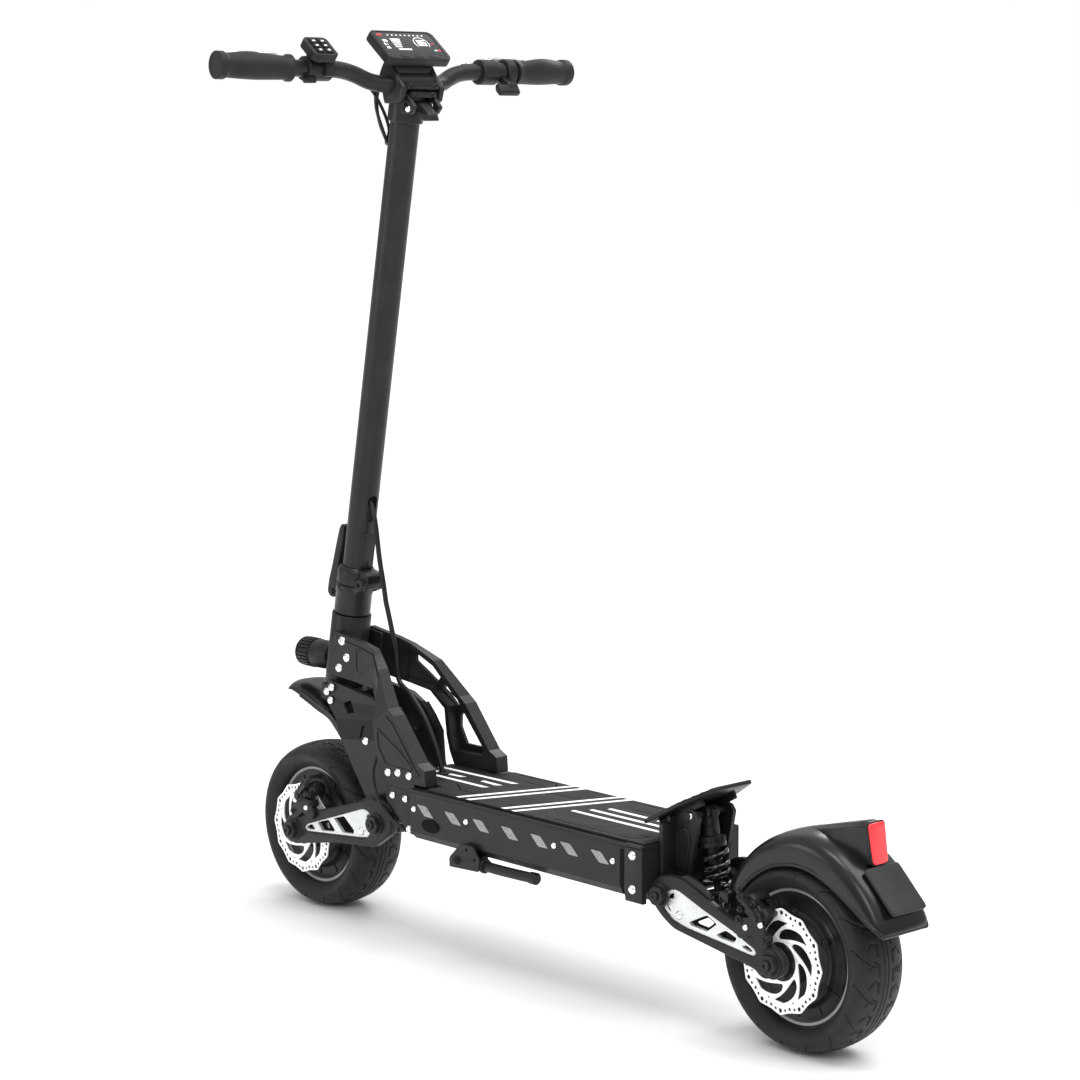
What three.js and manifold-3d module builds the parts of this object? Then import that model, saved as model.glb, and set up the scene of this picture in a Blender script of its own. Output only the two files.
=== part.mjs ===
// Electric kick scooter with two hub motors, a folding stem and sprung swing arms.
// Millimetres. +X is forward, +Y is the rider's left, +Z is up, and the tyres stand on z = 0.
import * as THREE from 'three'
import { mergeVertices } from 'three/addons/utils/BufferGeometryUtils.js'
import Module from 'manifold-3d'

const wasm = await Module()
wasm.setup()

// ---- driving dimensions ----
const TYRE_R = 127
const TYRE_HALF = 45
const AXLE_X = 497.2
const AXLE_Z = TYRE_R
const CENTRE_SHIFT = 15.4 // moves the middle of the whole length to x = 0
const RAKE = THREE.MathUtils.degToRad(10.53)
const STEER_X = 504.3 // where the steering axis passes the height of the front axle
const GAP = 0.3

const DECK = { rear: -279, front: 202, half: 91, bottom: 166, top: 241 }
const RAIL_Y = 85.4
const MAT_TOP = 244.5
const REAR_PIVOT = [-296, 178]
const FRONT_PIVOT = [298, 169.5]
const ARM_IN = 64
const ARM_OUT = 76
const DISC_Y = 57
const DISC_R = 70
const SHOCK_TOP_REAR = [-311, 281]
const SHOCK_LOW_REAR = [-333, 155]
const SHOCK_TOP_FRONT = [345, 318]
const SHOCK_LOW_FRONT = [330, 150]
const HEAD = { low: 228, high: 339, r: 30 } // along the steering axis
const FOLD_PIN = { u: -33.8, s: 394.3 } // in the steering frame: u forward, s up along the axis
const LATCH_PIN = { u: 40, s: 362 }
const STEM = { low: 386.3, high: 1117, r: 21.5 }
const BAR = { x: 292, z: 1246, r: 12 }
const BAR_PATH = [[292, 0, 1246], [293, 42, 1246.5], [302, 68, 1251], [308, 92, 1261],
  [308.5, 118, 1266.5], [307, 150, 1267.5], [306, 205, 1267.6],
  [311.3, 261.5, 1268.7], [316.6, 318, 1269.8]]
const GRIP = { from: [306.3, 208, 1267.6], to: [316.9, 326, 1270], r: 17, cap: 19.5 }
const LEVER_PIVOT = { x: 338, y: 150, z: 1270 }
const KICKSTAND = { x: 88, y: 80, z: 158 }
const TILT = 39 // degrees that the display and the key pod lean back from level
const DISPLAY_AT = [296, 0, 1303]
const POD_AT = [288, 168, 1296]

// ---- solids from three.js geometry ----
function flipped(geometry) {
  const order = geometry.index.array
  for (let i = 0; i < order.length; i += 3) [order[i], order[i + 1]] = [order[i + 1], order[i]]
  return geometry
}

// A closed geometry as a solid; a profile drawn the other way round is turned outwards.
function solid(geometry) {
  const bare = geometry.index ? geometry.toNonIndexed() : geometry.clone()
  bare.deleteAttribute('normal')
  bare.deleteAttribute('uv')
  const merged = mergeVertices(bare, 1e-4)
  const build = () => new wasm.Manifold(new wasm.Mesh({
    numProp: 3,
    vertProperties: merged.attributes.position.array,
    triVerts: new Uint32Array(merged.index.array)
  }))
  const body = build()
  if (body.volume() > 0) return body
  flipped(merged)
  return build()
}

function geometryOf(body) {
  const mesh = body.getMesh()
  const geometry = new THREE.BufferGeometry()
  geometry.setAttribute('position', new THREE.BufferAttribute(mesh.vertProperties, 3))
  geometry.setIndex(new THREE.BufferAttribute(mesh.triVerts, 1))
  geometry.computeVertexNormals()
  return geometry
}

const join = (...bodies) => bodies.reduce((sum, body) => sum.add(body))

function box([x0, x1], [y0, y1], [z0, z1]) {
  const g = new THREE.BoxGeometry(x1 - x0, y1 - y0, z1 - z0)
  g.translate((x0 + x1) / 2, (y0 + y1) / 2, (z0 + z1) / 2)
  return solid(g)
}

function outline(points) {
  return new THREE.Shape(points.map(([a, b]) => new THREE.Vector2(a, b)))
}

// A side outline of (x, z) points, with a thickness from y0 to y1.
function sidePlate(shape, y0, y1, curveSegments = 8) {
  const g = new THREE.ExtrudeGeometry(Array.isArray(shape) ? outline(shape) : shape,
    { depth: y1 - y0, bevelEnabled: false, curveSegments })
  g.rotateX(Math.PI / 2)
  g.translate(0, y1, 0)
  return solid(g)
}

// A cross-section of (y, z) points, drawn out from x0 to x1.
function lengthwise(points, x0, x1) {
  const g = new THREE.ExtrudeGeometry(outline(points), { depth: x1 - x0, bevelEnabled: false })
  g.rotateX(Math.PI / 2)
  g.rotateZ(Math.PI / 2)
  g.translate(x0, 0, 0)
  return solid(g)
}

// A plan outline of (x, y) points, drawn up from z0 to z1.
function upright(points, z0, z1) {
  const g = new THREE.ExtrudeGeometry(outline(points), { depth: z1 - z0, bevelEnabled: false })
  g.translate(0, 0, z0)
  return solid(g)
}

// A round bar between two points, with the number of sides given.
function bar(from, to, radius, sides = 12, endRadius = radius) {
  const a = new THREE.Vector3(...from)
  const b = new THREE.Vector3(...to)
  const way = b.clone().sub(a)
  const g = new THREE.CylinderGeometry(endRadius, radius, way.length(), sides)
  g.translate(0, way.length() / 2, 0)
  g.applyQuaternion(new THREE.Quaternion().setFromUnitVectors(
    new THREE.Vector3(0, 1, 0), way.normalize()))
  g.translate(a.x, a.y, a.z)
  return solid(g)
}

// A bar across the scooter, centred on the (x, z) point.
const across = ([x, z], y0, y1, radius, sides = 12) => bar([x, y0, z], [x, y1, z], radius, sides)

// A turned body about the Y axis through (x, z), from a closed profile of (radius, y) points.
function turnedAcross(profile, [x, z], segments = 40) {
  const points = [...profile, profile[0]].map(([r, y]) => new THREE.Vector2(r, y))
  const g = new THREE.LatheGeometry(points, segments)
  g.translate(x, 0, z)
  return solid(g)
}

// A turned body about the line from one point towards another; profile of (radius, distance).
function turnedAlong(profile, from, towards, segments = 12) {
  const points = [...profile, profile[0]].map(([r, d]) => new THREE.Vector2(r, d))
  const g = new THREE.LatheGeometry(points, segments)
  const a = new THREE.Vector3(...from)
  const way = new THREE.Vector3(...towards).sub(a).normalize()
  g.applyQuaternion(new THREE.Quaternion().setFromUnitVectors(new THREE.Vector3(0, 1, 0), way))
  g.translate(a.x, a.y, a.z)
  return solid(g)
}

function roundSection(radius, sides) {
  const step = 2 * Math.PI / sides
  return outline(Array.from({ length: sides }, (_, i) => [
    radius * Math.cos(i * step), radius * Math.sin(i * step)]))
}

function tube(points, radius, steps, sides = 12) {
  const path = new THREE.CatmullRomCurve3(points.map(p => new THREE.Vector3(...p)))
  return solid(new THREE.ExtrudeGeometry(roundSection(radius, sides),
    { extrudePath: path, steps, bevelEnabled: false }))
}

// A plate skinned over stations; each has two (x, z) edge points and its inner and outer y.
function skinned(stations) {
  const vertices = stations.flatMap(({ a, b, inner, outer }) => [
    [a[0], inner, a[1]], [a[0], outer, a[1]], [b[0], outer, b[1]], [b[0], inner, b[1]]]).flat()
  const index = []
  const quad = (p, q, r, s) => index.push(p, q, r, p, r, s)
  for (let i = 0; i < stations.length - 1; i++) {
    for (let k = 0; k < 4; k++) {
      const next = (k + 1) % 4
      quad(4 * i + k, 4 * i + next, 4 * i + 4 + next, 4 * i + 4 + k)
    }
  }
  const last = 4 * (stations.length - 1)
  quad(3, 2, 1, 0)
  quad(last, last + 1, last + 2, last + 3)
  const g = new THREE.BufferGeometry()
  g.setAttribute('position', new THREE.Float32BufferAttribute(vertices, 3))
  g.setIndex(index)
  return solid(g)
}

const mirrored = body => solid(geometryOf(body).scale(1, -1, 1))

// ---- the tree and its materials ----
const scooter = new THREE.Group()
scooter.position.x = CENTRE_SHIFT
const steering = new THREE.Group() // its Z axis is the steering axis
steering.position.set(STEER_X, 0, AXLE_Z)
steering.rotation.y = -RAKE
scooter.add(steering)

const finish = (color, roughness, metalness) =>
  new THREE.MeshStandardMaterial({ color, roughness, metalness })
const paint = finish(0x1b1c1e, 0.55, 0.3)
const alloy = finish(0x232427, 0.45, 0.6)
const steel = finish(0xb9bcc0, 0.3, 0.95)
const silver = finish(0xc9cbcd, 0.4, 0.8)
const plastic = finish(0x17181a, 0.5, 0)
const rubber = finish(0x121212, 0.85, 0)
const red = finish(0xd5151c, 0.25, 0)

function part(name, body, material, parent = scooter) {
  const mesh = new THREE.Mesh(geometryOf(body), material)
  mesh.name = name
  parent.add(mesh)
}

// ---- deck ----
const deckSection = inset => [
  [-RAIL_Y + 0.4 + inset, 182], [-72 + inset, DECK.bottom + inset],
  [72 - inset, DECK.bottom + inset], [RAIL_Y - 0.4 - inset, 182],
  [RAIL_Y - 0.4 - inset, 236], [-RAIL_Y + 0.4 + inset, 236]]

function deckTray() {
  const hollow = lengthwise(deckSection(4).map(([y, z]) => [y, z > 200 ? 240 : z]),
    DECK.rear + 6, DECK.front - 6)
  let tray = lengthwise(deckSection(0), DECK.rear, DECK.front).subtract(hollow)
  for (const side of [-1, 1]) {
    const flank = [side * 84, side * DECK.half].sort((a, b) => a - b)
    const lug = [side * 50, side * 62].sort((a, b) => a - b)
    tray = tray.add(box([DECK.rear, -246], flank, [164, 236]))
    tray = tray.add(across(REAR_PIVOT, ...lug, 15))
    tray = tray.add(box([REAR_PIVOT[0], DECK.rear + 2], lug, [163, 193]))
    tray = tray.subtract(across(REAR_PIVOT, lug[0] - 1, lug[1] + 1, 8.4))
  }
  const nose = box([DECK.front - 1, DECK.front + 9], [-57, 57], [176, 232])
  const standBlock = box([74, 106], [52, 72], [152, 168])
  const grommetHole = bar([DECK.front - 8, 0, 216], [DECK.front + 12, 0, 218], 6.5, 10)
  return join(tray, nose, standBlock).subtract(grommetHole)
    .subtract(across([KICKSTAND.x, KICKSTAND.z], 60, 80, 5.4))
}

function sideRail(side) {
  const inner = RAIL_Y
  const outer = DECK.half
  const section = [[inner, 182], [78, 169], [80, 167.5], [outer, 179], [outer, 233], [88.5, 236],
    [inner, 236]].map(([y, z]) => [side * y, z])
  if (side < 0) section.reverse()
  let rail = lengthwise(section, -245.4, DECK.front - 2)
  for (let i = 0; i < 7; i++) {
    const x = 166 - i * 60.5
    const gem = sidePlate([[x + 19, 222], [x - 2, 222], [x - 19, 205.5], [x + 2, 205.5]],
      side > 0 ? outer - 1.5 : -outer - 2, side > 0 ? outer + 2 : -outer + 1.5)
    rail = rail.subtract(gem)
  }
  return rail
}

part('deck_tray', deckTray(), paint)
part('deck_cover', box([DECK.rear, DECK.front], [-DECK.half, DECK.half], [236.4, DECK.top]), paint)
part('deck_mat', box([-274, 196], [-84, 84], [DECK.top + GAP, MAT_TOP])
  .subtract(box([170, 200], [55, 90], [240, 250])).subtract(box([170, 200], [-90, -55], [240, 250]))
  .subtract(box([-280, -240], [-64, 64], [240, 250])), rubber)
part('side_rail_left', sideRail(1), paint)
part('side_rail_right', sideRail(-1), paint)
part('battery_pack', box([-262, 96], [-66, 66], [172, 228]), plastic)
part('motor_controller', box([104, 190], [-60, 60], [172, 204]), silver)

// ---- neck ----
const neckStations = [
  { a: [436, 437], b: [457, 371], inner: 30.4, outer: 39.4 },
  { a: [372, 428], b: [392, 366], inner: 30.4, outer: 39.4 },
  { a: [340, 421], b: [345, 362], inner: 30.4, outer: 41 },
  { a: [304, 398], b: [313, 352], inner: 44, outer: 61 },
  { a: [262, 348], b: [297, 325], inner: 58, outer: 80 },
  { a: [225, 308], b: [294, 300], inner: 58, outer: 80 }]

function neckPlate() {
  const foot = [[262, 348], [249, 339], [196, 276], [180, 268], [178, 245.2], [203.6, 245.2],
    [203.6, 172], [215, 172], [231, 183], [251, 204], [269, 232], [285, 262], [292, 285],
    [296.5, 325]]
  return skinned(neckStations).add(sidePlate(foot, 58, 80))
}

// The right plate is hollowed from inside to a thin web with three windows.
function windowedNeckPlate() {
  const hollow = skinned([
    { a: [350, 416], b: [352, 369], inner: 20, outer: 34.6 },
    { a: [340, 413], b: [344, 369], inner: 20, outer: 36 },
    { a: [307, 391], b: [313, 360], inner: 30, outer: 55 },
    { a: [267, 342], b: [289, 329], inner: 50, outer: 75 },
    { a: [231, 301], b: [284, 303], inner: 50, outer: 75 }])
  const footHollow = sidePlate([[267, 342], [208, 276], [212, 266], [276, 264], [284, 286],
    [289, 329]], 50, 75)
  const windows = [
    [[338, 403], [332, 404], [301, 379], [310, 364], [338, 395]],
    [[297, 372], [268, 339], [287, 328], [304, 354]],
    [[260, 328], [221, 285], [223, 274], [266, 274], [280, 298], [279, 315]]]
  let plate = neckPlate().subtract(hollow).subtract(footHollow)
  for (const hole of windows) plate = plate.subtract(sidePlate(hole, 20, 90))
  return plate
}
part('neck_plate_left', neckPlate(), paint)
part('neck_plate_right', mirrored(windowedNeckPlate()), paint)
const headTube = turnedAlong([[22, HEAD.low], [HEAD.r, HEAD.low], [HEAD.r, HEAD.high],
  [22, HEAD.high]], [0, 0, 0], [0, 0, 1], 28)
part('head_tube', headTube, paint, steering)
part('headset_bearings', turnedAlong([[15.4, 229], [21.6, 229], [21.6, 338], [15.4, 338],
  [15.4, 324], [19, 324], [19, 243], [15.4, 243]], [0, 0, 0], [0, 0, 1], 20), steel, steering)

part('headlight', turnedAlong([[0.01, 0], [14, 0], [23, 8], [23, 62], [20, 68], [0.01, 68]],
  [490, 0, 387], [491, 0, 387], 24), plastic)

// ---- rear tower and kickplate ----
function shockTower() {
  const cheek = [[-284, 197], [-311, 199], [-322, 250], [-328, 280], [-322, 288], [-312, 290],
    [-284, 277]]
  const plates = [1, -1].map(side => sidePlate(cheek, side > 0 ? 30 : -36, side > 0 ? 36 : -30))
  const back = box([-285, DECK.rear - GAP], [-46, 46], [197, 277])
  return join(back, ...plates, across(SHOCK_TOP_REAR, -40, 40, 5, 12))
}
part('shock_tower', shockTower(), paint)

function kickplate() {
  const slope = [[-246, 262], [-356, 321], [-358, 327], [-246, 268]]
  const wide = sidePlate(slope, -58, 58)
  const trim = upright([[-240, 58], [-300, 58], [-362, 34], [-362, -34], [-300, -58],
    [-240, -58]], 250, 340)
  const foot = box([-276, -250], [-20, 20], [MAT_TOP - 3, 270]).intersect(
    sidePlate([[-276, 241.3], [-250, 241.3], [-250, 266], [-276, 279]], -20, 20))
  return wide.intersect(trim).add(foot)
}
part('kickplate', kickplate(), paint)

// A through bolt with a nut and a washer outside each arm.
function pivotBolt(pivot) {
  const half = [[7.5, ARM_OUT + GAP], [16, ARM_OUT + GAP], [16, ARM_OUT + 2], [13, ARM_OUT + 2],
    [13, ARM_OUT + 9], [7, ARM_OUT + 9], [6, ARM_OUT + 13], [0.01, ARM_OUT + 13]]
  const other = half.map(([r, y]) => [r, -y]).reverse()
  return turnedAcross([...half, ...other], pivot, 12)
}
part('rear_pivot_bolt', pivotBolt(REAR_PIVOT), steel)

// ---- wheels ----
const tyreProfile = [[89, -25], [100, -41], [110, -TYRE_HALF], [118, -40], [124.5, -24],
  [TYRE_R, 0], [124.5, 24], [118, 40], [110, TYRE_HALF], [100, 41], [89, 25]]
const hubProfile = [[9.5, 56.4], [32, 56.4], [36, 38], [64, 32], [74, 22], [88.2, 24.6],
  [88.2, -24.6], [74, -22], [64, -34], [9.5, -40], [9.5, -22], [66, -19], [66, 19], [9.5, 22]]

function discRotor(axle) {
  const face = new THREE.Shape().absarc(0, 0, DISC_R, 0, 2 * Math.PI)
  face.holes.push(new THREE.Path().absarc(0, 0, 17, 0, 2 * Math.PI))
  const turns = 6
  for (let i = 0; i < turns; i++) {
    const from = i * 2 * Math.PI / turns
    const sweep = radius => (radius - 28) * 0.012
    const rim = [0, 0.25, 0.5, 0.75, 1].map(t => [56, from + 0.14 + t * 0.72 + sweep(56)])
    const hub = [1, 0.5, 0].map(t => [30, from + 0.16 + t * 0.6 + sweep(30)])
    const loop = [...rim, [43, from + 0.88 + sweep(43)], ...hub, [43, from + 0.15 + sweep(43)]]
    face.holes.push(new THREE.Path(loop.map(([r, a]) =>
      new THREE.Vector2(r * Math.cos(a), r * Math.sin(a)))))
  }
  return sidePlate(face, DISC_Y, DISC_Y + 2, 12).translate([axle, 0, AXLE_Z])
}

// The fixed axle, with the motor's stator in the middle, spacers, and a nut outside each arm.
function axleWithStator(axle) {
  const half = spacer => [[58, 16], [8, 16], [8, spacer], [13, spacer], [13, ARM_IN - GAP],
    [8, ARM_IN - GAP], [8, ARM_OUT + GAP], [14, ARM_OUT + GAP], [14, ARM_OUT + 11],
    [6, ARM_OUT + 16], [0.01, ARM_OUT + 16]]
  const right = half(41).map(([r, y]) => [r, -y]).reverse()
  return turnedAcross([...half(57.5), ...right], [axle, AXLE_Z], 12)
}

for (const [end, axle] of [['front', AXLE_X], ['rear', -AXLE_X]]) {
  part(`${end}_tyre`, turnedAcross(tyreProfile, [axle, AXLE_Z], 36), rubber)
  part(`${end}_hub_motor`, turnedAcross(hubProfile, [axle, AXLE_Z], 22), alloy)
  part(`${end}_brake_disc`, discRotor(axle), steel)
  part(`${end}_axle`, axleWithStator(axle), steel)
}

// ---- swing arms ----
const rearArmOutline = [[-285, 167], [-280.8, 178], [-285, 190], [-306, 206], [-350, 212],
  [-384, 200], [-417, 176], [-494, 153], [-512, 147], [-521, 132], [-516, 114], [-497, 105],
  [-407, 123], [-325, 139], [-296, 158]]
const frontArmOutline = [[512, 147], [494, 150], [408, 176], [311, 207], [272, 199], [262, 187],
  [264, 168], [292, 137], [410, 120], [494, 105], [513, 112], [521, 130]]
const rearWindows = [
  [[-350, 187], [-388, 167], [-372, 149], [-352, 147], [-343, 156]],
  [[-398, 160], [-428, 148], [-414, 139], [-388, 143]],
  [[-438, 145], [-464, 136], [-450, 132], [-428, 136]]]
const frontWindows = [
  [[388, 168], [357, 177], [330, 150], [368, 141]],
  [[434, 155], [402, 164], [381, 142], [416, 136]],
  [[466, 139], [444, 149], [432, 138], [455, 134]]]

function swingArm(shape, windows, pivot, brace, axle) {
  const sides = [1, -1].map(side => {
    const [y0, y1] = side > 0 ? [ARM_IN, ARM_OUT] : [-ARM_OUT, -ARM_IN]
    let plate = sidePlate(shape, y0, y1)
    for (const hole of windows) plate = plate.subtract(sidePlate(hole, y0 - 1, y1 + 1))
    plate = plate.subtract(across(pivot, y0 - 1, y1 + 1, 8.4))
    return plate.subtract(across([axle, AXLE_Z], y0 - 1, y1 + 1, 8.4))
  })
  const tubes = [1, -1].map(side => across(brace, ...[side * 13, side * 66]
    .sort((a, b) => a - b), 10))
  return join(...sides, ...tubes, across(brace, -20, 20, 6, 12))
}
part('rear_swingarm', swingArm(rearArmOutline, rearWindows, REAR_PIVOT, SHOCK_LOW_REAR, -AXLE_X),
  alloy)
part('front_swingarm', swingArm(frontArmOutline, frontWindows, FRONT_PIVOT, SHOCK_LOW_FRONT,
  AXLE_X), alloy)

function caliper(axle, towardsPivot) {
  const x = t => axle + towardsPivot * t
  const sorted = (a, b) => [a, b].sort((p, q) => p - q)
  const body = box(sorted(x(10), x(56)), [47.5, 80], [173, 207])
  const bracket = box(sorted(x(2), x(58)), [ARM_OUT + 0.5, 83], [150, 182])
  const slot = across([axle, AXLE_Z], DISC_Y - 1.2, DISC_Y + 3.2, DISC_R + 2.5, 40)
  const legs = across([x(33), 190], 46.5, 86, 10, 12)
  return join(body, bracket, legs).subtract(slot)
}
part('front_caliper', caliper(AXLE_X, -1), alloy)
part('rear_caliper', caliper(-AXLE_X, 1), alloy)

// ---- shocks ----
function shock(top, low, { body, coil, seat, wire }) {
  const from = [top[0], 0, top[1]]
  const to = [low[0], 0, low[1]]
  const length = Math.hypot(top[0] - low[0], top[1] - low[1])
  const seatAt = length * 0.34
  const bodyEnd = length * 0.56
  const lowSeat = length - 23
  const reservoir = turnedAlong([[0.01, 4], [body, 6], [body, seatAt], [seat, seatAt],
    [seat, seatAt + 7], [body - 1, seatAt + 7], [body - 1, bodyEnd], [5.6, bodyEnd],
    [5.6, seatAt - 14], [0.01, seatAt - 14]], from, to)
  const eye = across(top, -12, 12, 10).add(reservoir).subtract(across(top, -13, 13, 5.4, 12))
  const rod = turnedAlong([[0.01, seatAt + 8], [5, seatAt + 8], [5, lowSeat], [seat, lowSeat],
    [seat, lowSeat + 5], [9, lowSeat + 5], [9, length - 4], [0.01, length - 4]], from, to)
  const lowEye = across(low, -11.5, 11.5, 11).add(rod).subtract(across(low, -13, 13, 6.6, 12))
  const coilFrom = seatAt + 7 + wire + GAP
  const coilTo = lowSeat - wire - GAP
  return { eye, lowEye, spring: () => spring(from, to, coilFrom, coilTo, coil, wire) }
}

function spring(from, to, start, end, radius, wire) {
  const turns = 4.6
  const steps = 46
  const a = new THREE.Vector3(...from)
  const turn = new THREE.Quaternion().setFromUnitVectors(new THREE.Vector3(0, 1, 0),
    new THREE.Vector3(...to).sub(a).normalize())
  const points = Array.from({ length: steps + 1 }, (_, i) => {
    const t = i / steps
    const angle = t * turns * 2 * Math.PI
    const p = new THREE.Vector3(radius * Math.cos(angle), start + (end - start) * t,
      radius * Math.sin(angle))
    return p.applyQuaternion(turn).add(a).toArray()
  })
  return tube(points, wire, steps, 6)
}

const rearShock = shock(SHOCK_TOP_REAR, SHOCK_LOW_REAR, { body: 12, coil: 17.4, seat: 19, wire: 3 })
part('rear_shock_body', rearShock.eye, alloy)
part('rear_shock_rod', rearShock.lowEye, steel)
part('rear_shock_spring', rearShock.spring(), alloy)
const frontShock = shock(SHOCK_TOP_FRONT, SHOCK_LOW_FRONT, { body: 11, coil: 12, seat: 12.5, wire: 2 })
part('front_shock_body', frontShock.eye, alloy)
part('front_shock_rod', frontShock.lowEye, steel)

// ---- rear fender and tail light ----
const round = (angle, radius, axle) => [axle - radius * Math.sin(angle),
  AXLE_Z + radius * Math.cos(angle)]
const degrees = THREE.MathUtils.degToRad
function rearFender() {
  const crown = [-66, -54, -42, -30, -18, -6, 6].map((a, i) =>
    round(degrees(a), 139 + i * 3.2, -AXLE_X))
  const tail = [[-531, 290], [-592, 317.5], [-599, 317], [-606.5, 267], [-655, 207], [-653, 183]]
  const hem = [[-634, 186], [-603, 227], [-566, 246], [-533, 256], [-490, 258], [-452, 246],
    [-422, 222], [-405, 190]]
  const body = sidePlate([...crown, ...tail, ...hem], -50, 50)
  const roof = [-70, -60, -48, -36, -24, -12, 0, 12].map((a, i) =>
    round(degrees(a), 135 + i * 2.6, -AXLE_X))
  const under = [...roof, [-540, 285], [-591, 311.5], [-600, 266], [-649, 207], [-648, 150],
    [-400, 120]]
  const tabs = [1, -1].map(side => box([-408, -392], side > 0 ? [46, 63.7] : [-63.7, -46],
    [188, 200]))
  return join(body.subtract(sidePlate(under, -46.5, 46.5)), ...tabs)
}
part('rear_fender', rearFender(), plastic)
part('tail_light', sidePlate([[-599.8, 316], [-606.6, 271], [-612.6, 272], [-605.2, 317]], -17, 17),
  red)

// ---- fork, front fender and folding base ----
const forkStations = [
  { a: [449, 361], b: [345, 347], inner: 34, outer: 42 },
  { a: [459, 333], b: [322, 336], inner: 34, outer: 42 },
  { a: [428, 306], b: [308, 316], inner: 38, outer: 46 },
  { a: [400, 280], b: [302, 290], inner: 50, outer: 58 },
  { a: [374, 243], b: [298, 245], inner: 50, outer: 58 },
  { a: [342, 200], b: [286, 205], inner: 50, outer: 58 },
  { a: [320, 162], b: [278, 168], inner: 50, outer: 58 },
  { a: [308, 152], b: [290, 152], inner: 50, outer: 58 }]

function forkPlate() {
  const boss = across(FRONT_PIVOT, 50, ARM_IN - 0.5, 18)
  const bore = across(FRONT_PIVOT, 40, 70, 8.4)
  const window = sidePlate([[412, 330], [396, 337], [384, 320], [400, 316]], 20, 60)
  const slot = sidePlate([[360, 306], [354, 304], [352, 286], [358, 288]], 20, 70)
  return skinned(forkStations).add(boss).subtract(bore).subtract(window).subtract(slot)
}
part('fork_plate_left', forkPlate(), paint)
part('fork_plate_right', mirrored(forkPlate()), paint)

const crown = box([-42, 12], [-33.7, 33.7], [203, 226.5])
part('steerer', join(crown, bar([0, 0, 220], [0, 0, 365.6], 15, 24)), alloy, steering)
part('front_pivot_bolt', pivotBolt(FRONT_PIVOT), steel)

function frontFender() {
  const top = [[600, 324], [552, 336], [507, 338], [470, 319], [432, 298], [396, 270], [362, 236]]
  const under = top.map(([x, z], i) => [x - (i > 2 ? 2.5 : 0), z - 4]).reverse()
  const blade = sidePlate([...top, ...under], -TYRE_HALF, TYRE_HALF)
  const plan = upright([[350, 45], [540, 45], [575, 34], [601, 12], [601, -12], [575, -34],
    [540, -45], [350, -45]], 200, 360)
  return blade.intersect(plan)
}
part('front_fender', frontFender(), plastic)

function hingeBase() {
  const shell = turnedAlong([[0.01, 366], [15.4, 366], [15.4, 340.5], [28, 340.5], [28, 380],
    [26.5, 385.7], [0.01, 385.7]], [0, 0, 0], [0, 0, 1], 18)
  const ear = [[-20, 350], [-20, 385.6], [-27, 388], [-27, 398], [-31, 402], [-37, 402],
    [-41.5, 398], [-41.5, 388], [-26, 352]]
  const ears = [1, -1].map(side => sidePlate(ear, side > 0 ? 18.4 : -30, side > 0 ? 30 : -18.4))
  const pin = across([FOLD_PIN.u, FOLD_PIN.s], -33, 33, 5, 12)
  const nib = join(box([24, LATCH_PIN.u], [-6, 6], [354, 370]),
    across([LATCH_PIN.u, LATCH_PIN.s], -6, 6, 8, 12),
    across([LATCH_PIN.u, LATCH_PIN.s], -13, 13, 3, 10))
  return join(shell, ...ears, pin, nib)
}
part('hinge_base', hingeBase(), alloy, steering)

function foldLever() {
  const side = [[30.5, 362], [35, 353], [44, 352], [51, 358], [51, 376], [47, 400], [42, 440],
    [38, 466], [33, 471], [28, 466], [29, 440], [33, 400], [32, 376]]
  return sidePlate(side, -11, 11)
    .subtract(box([0, 49.5], [-6.6, 6.6], [340, 373]))
    .subtract(across([LATCH_PIN.u, LATCH_PIN.s], -12, 12, 3.4, 10))
}
part('fold_lever', foldLever(), alloy, steering)

// ---- stem ----
function stemTube() {
  const wall = turnedAlong([[18, 430], [STEM.r, 420], [STEM.r, STEM.high], [18, STEM.high]],
    [0, 0, 0], [0, 0, 1], 20)
  const foot = turnedAlong([[0.01, STEM.low], [27.5, STEM.low], [27.5, 410], [24, 420],
    [STEM.r, 422], [18, 434], [0.01, 434]], [0, 0, 0], [0, 0, 1], 20)
  const knuckleShape = [[-22, 386.8], [-22, 412], [-34, 408], [-41.5, 400], [-42, 391],
    [-38, 386.8], [-30, 386.6]]
  const knuckle = sidePlate(knuckleShape, -18, 18)
  const bore = across([FOLD_PIN.u, FOLD_PIN.s], -30, 30, 5.4, 12)
  const slot = box([-26, -12], [-6, 6], [492, 528])
  const entry = bar([10, 0, 1052], [30, 0, 1052], 8, 10)
  return join(wall, foot, knuckle).subtract(bore).subtract(slot).subtract(entry)
}
part('stem_tube', stemTube(), paint, steering)

const steerPoint = (u, s) => [STEER_X + u * Math.cos(RAKE) - s * Math.sin(RAKE),
  AXLE_Z + u * Math.sin(RAKE) + s * Math.cos(RAKE)]
function stemPoint(s, u = 0) {
  const [x, z] = steerPoint(u, s)
  return [x, 0, z]
}

function barClamp() {
  const saddle = across([BAR.x, BAR.z], -40, 40, 19, 16)
  const collar = bar(stemPoint(1086), stemPoint(1136), 26, 18)
  const rearHook = sidePlate([[284, 1226], [262, 1218], [244, 1204], [240, 1196], [256, 1196],
    [262, 1203], [282, 1208]], -9, 9)
  const cheeks = [1, -1].map(side => sidePlate([[281, 1262], [264, 1240], [272, 1224], [306, 1222],
    [312, 1250], [303, 1281], [290, 1274]], side > 0 ? 32 : -38, side > 0 ? 38 : -32))
  const bridge = box([286, 300], [-38, 38], [1262, 1274])
  return join(saddle, collar, rearHook, ...cheeks, bridge)
    .subtract(bar(stemPoint(1080), stemPoint(1117.3), STEM.r + 0.8, 18))
    .subtract(barSolid(BAR.r + 0.35))
}

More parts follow.
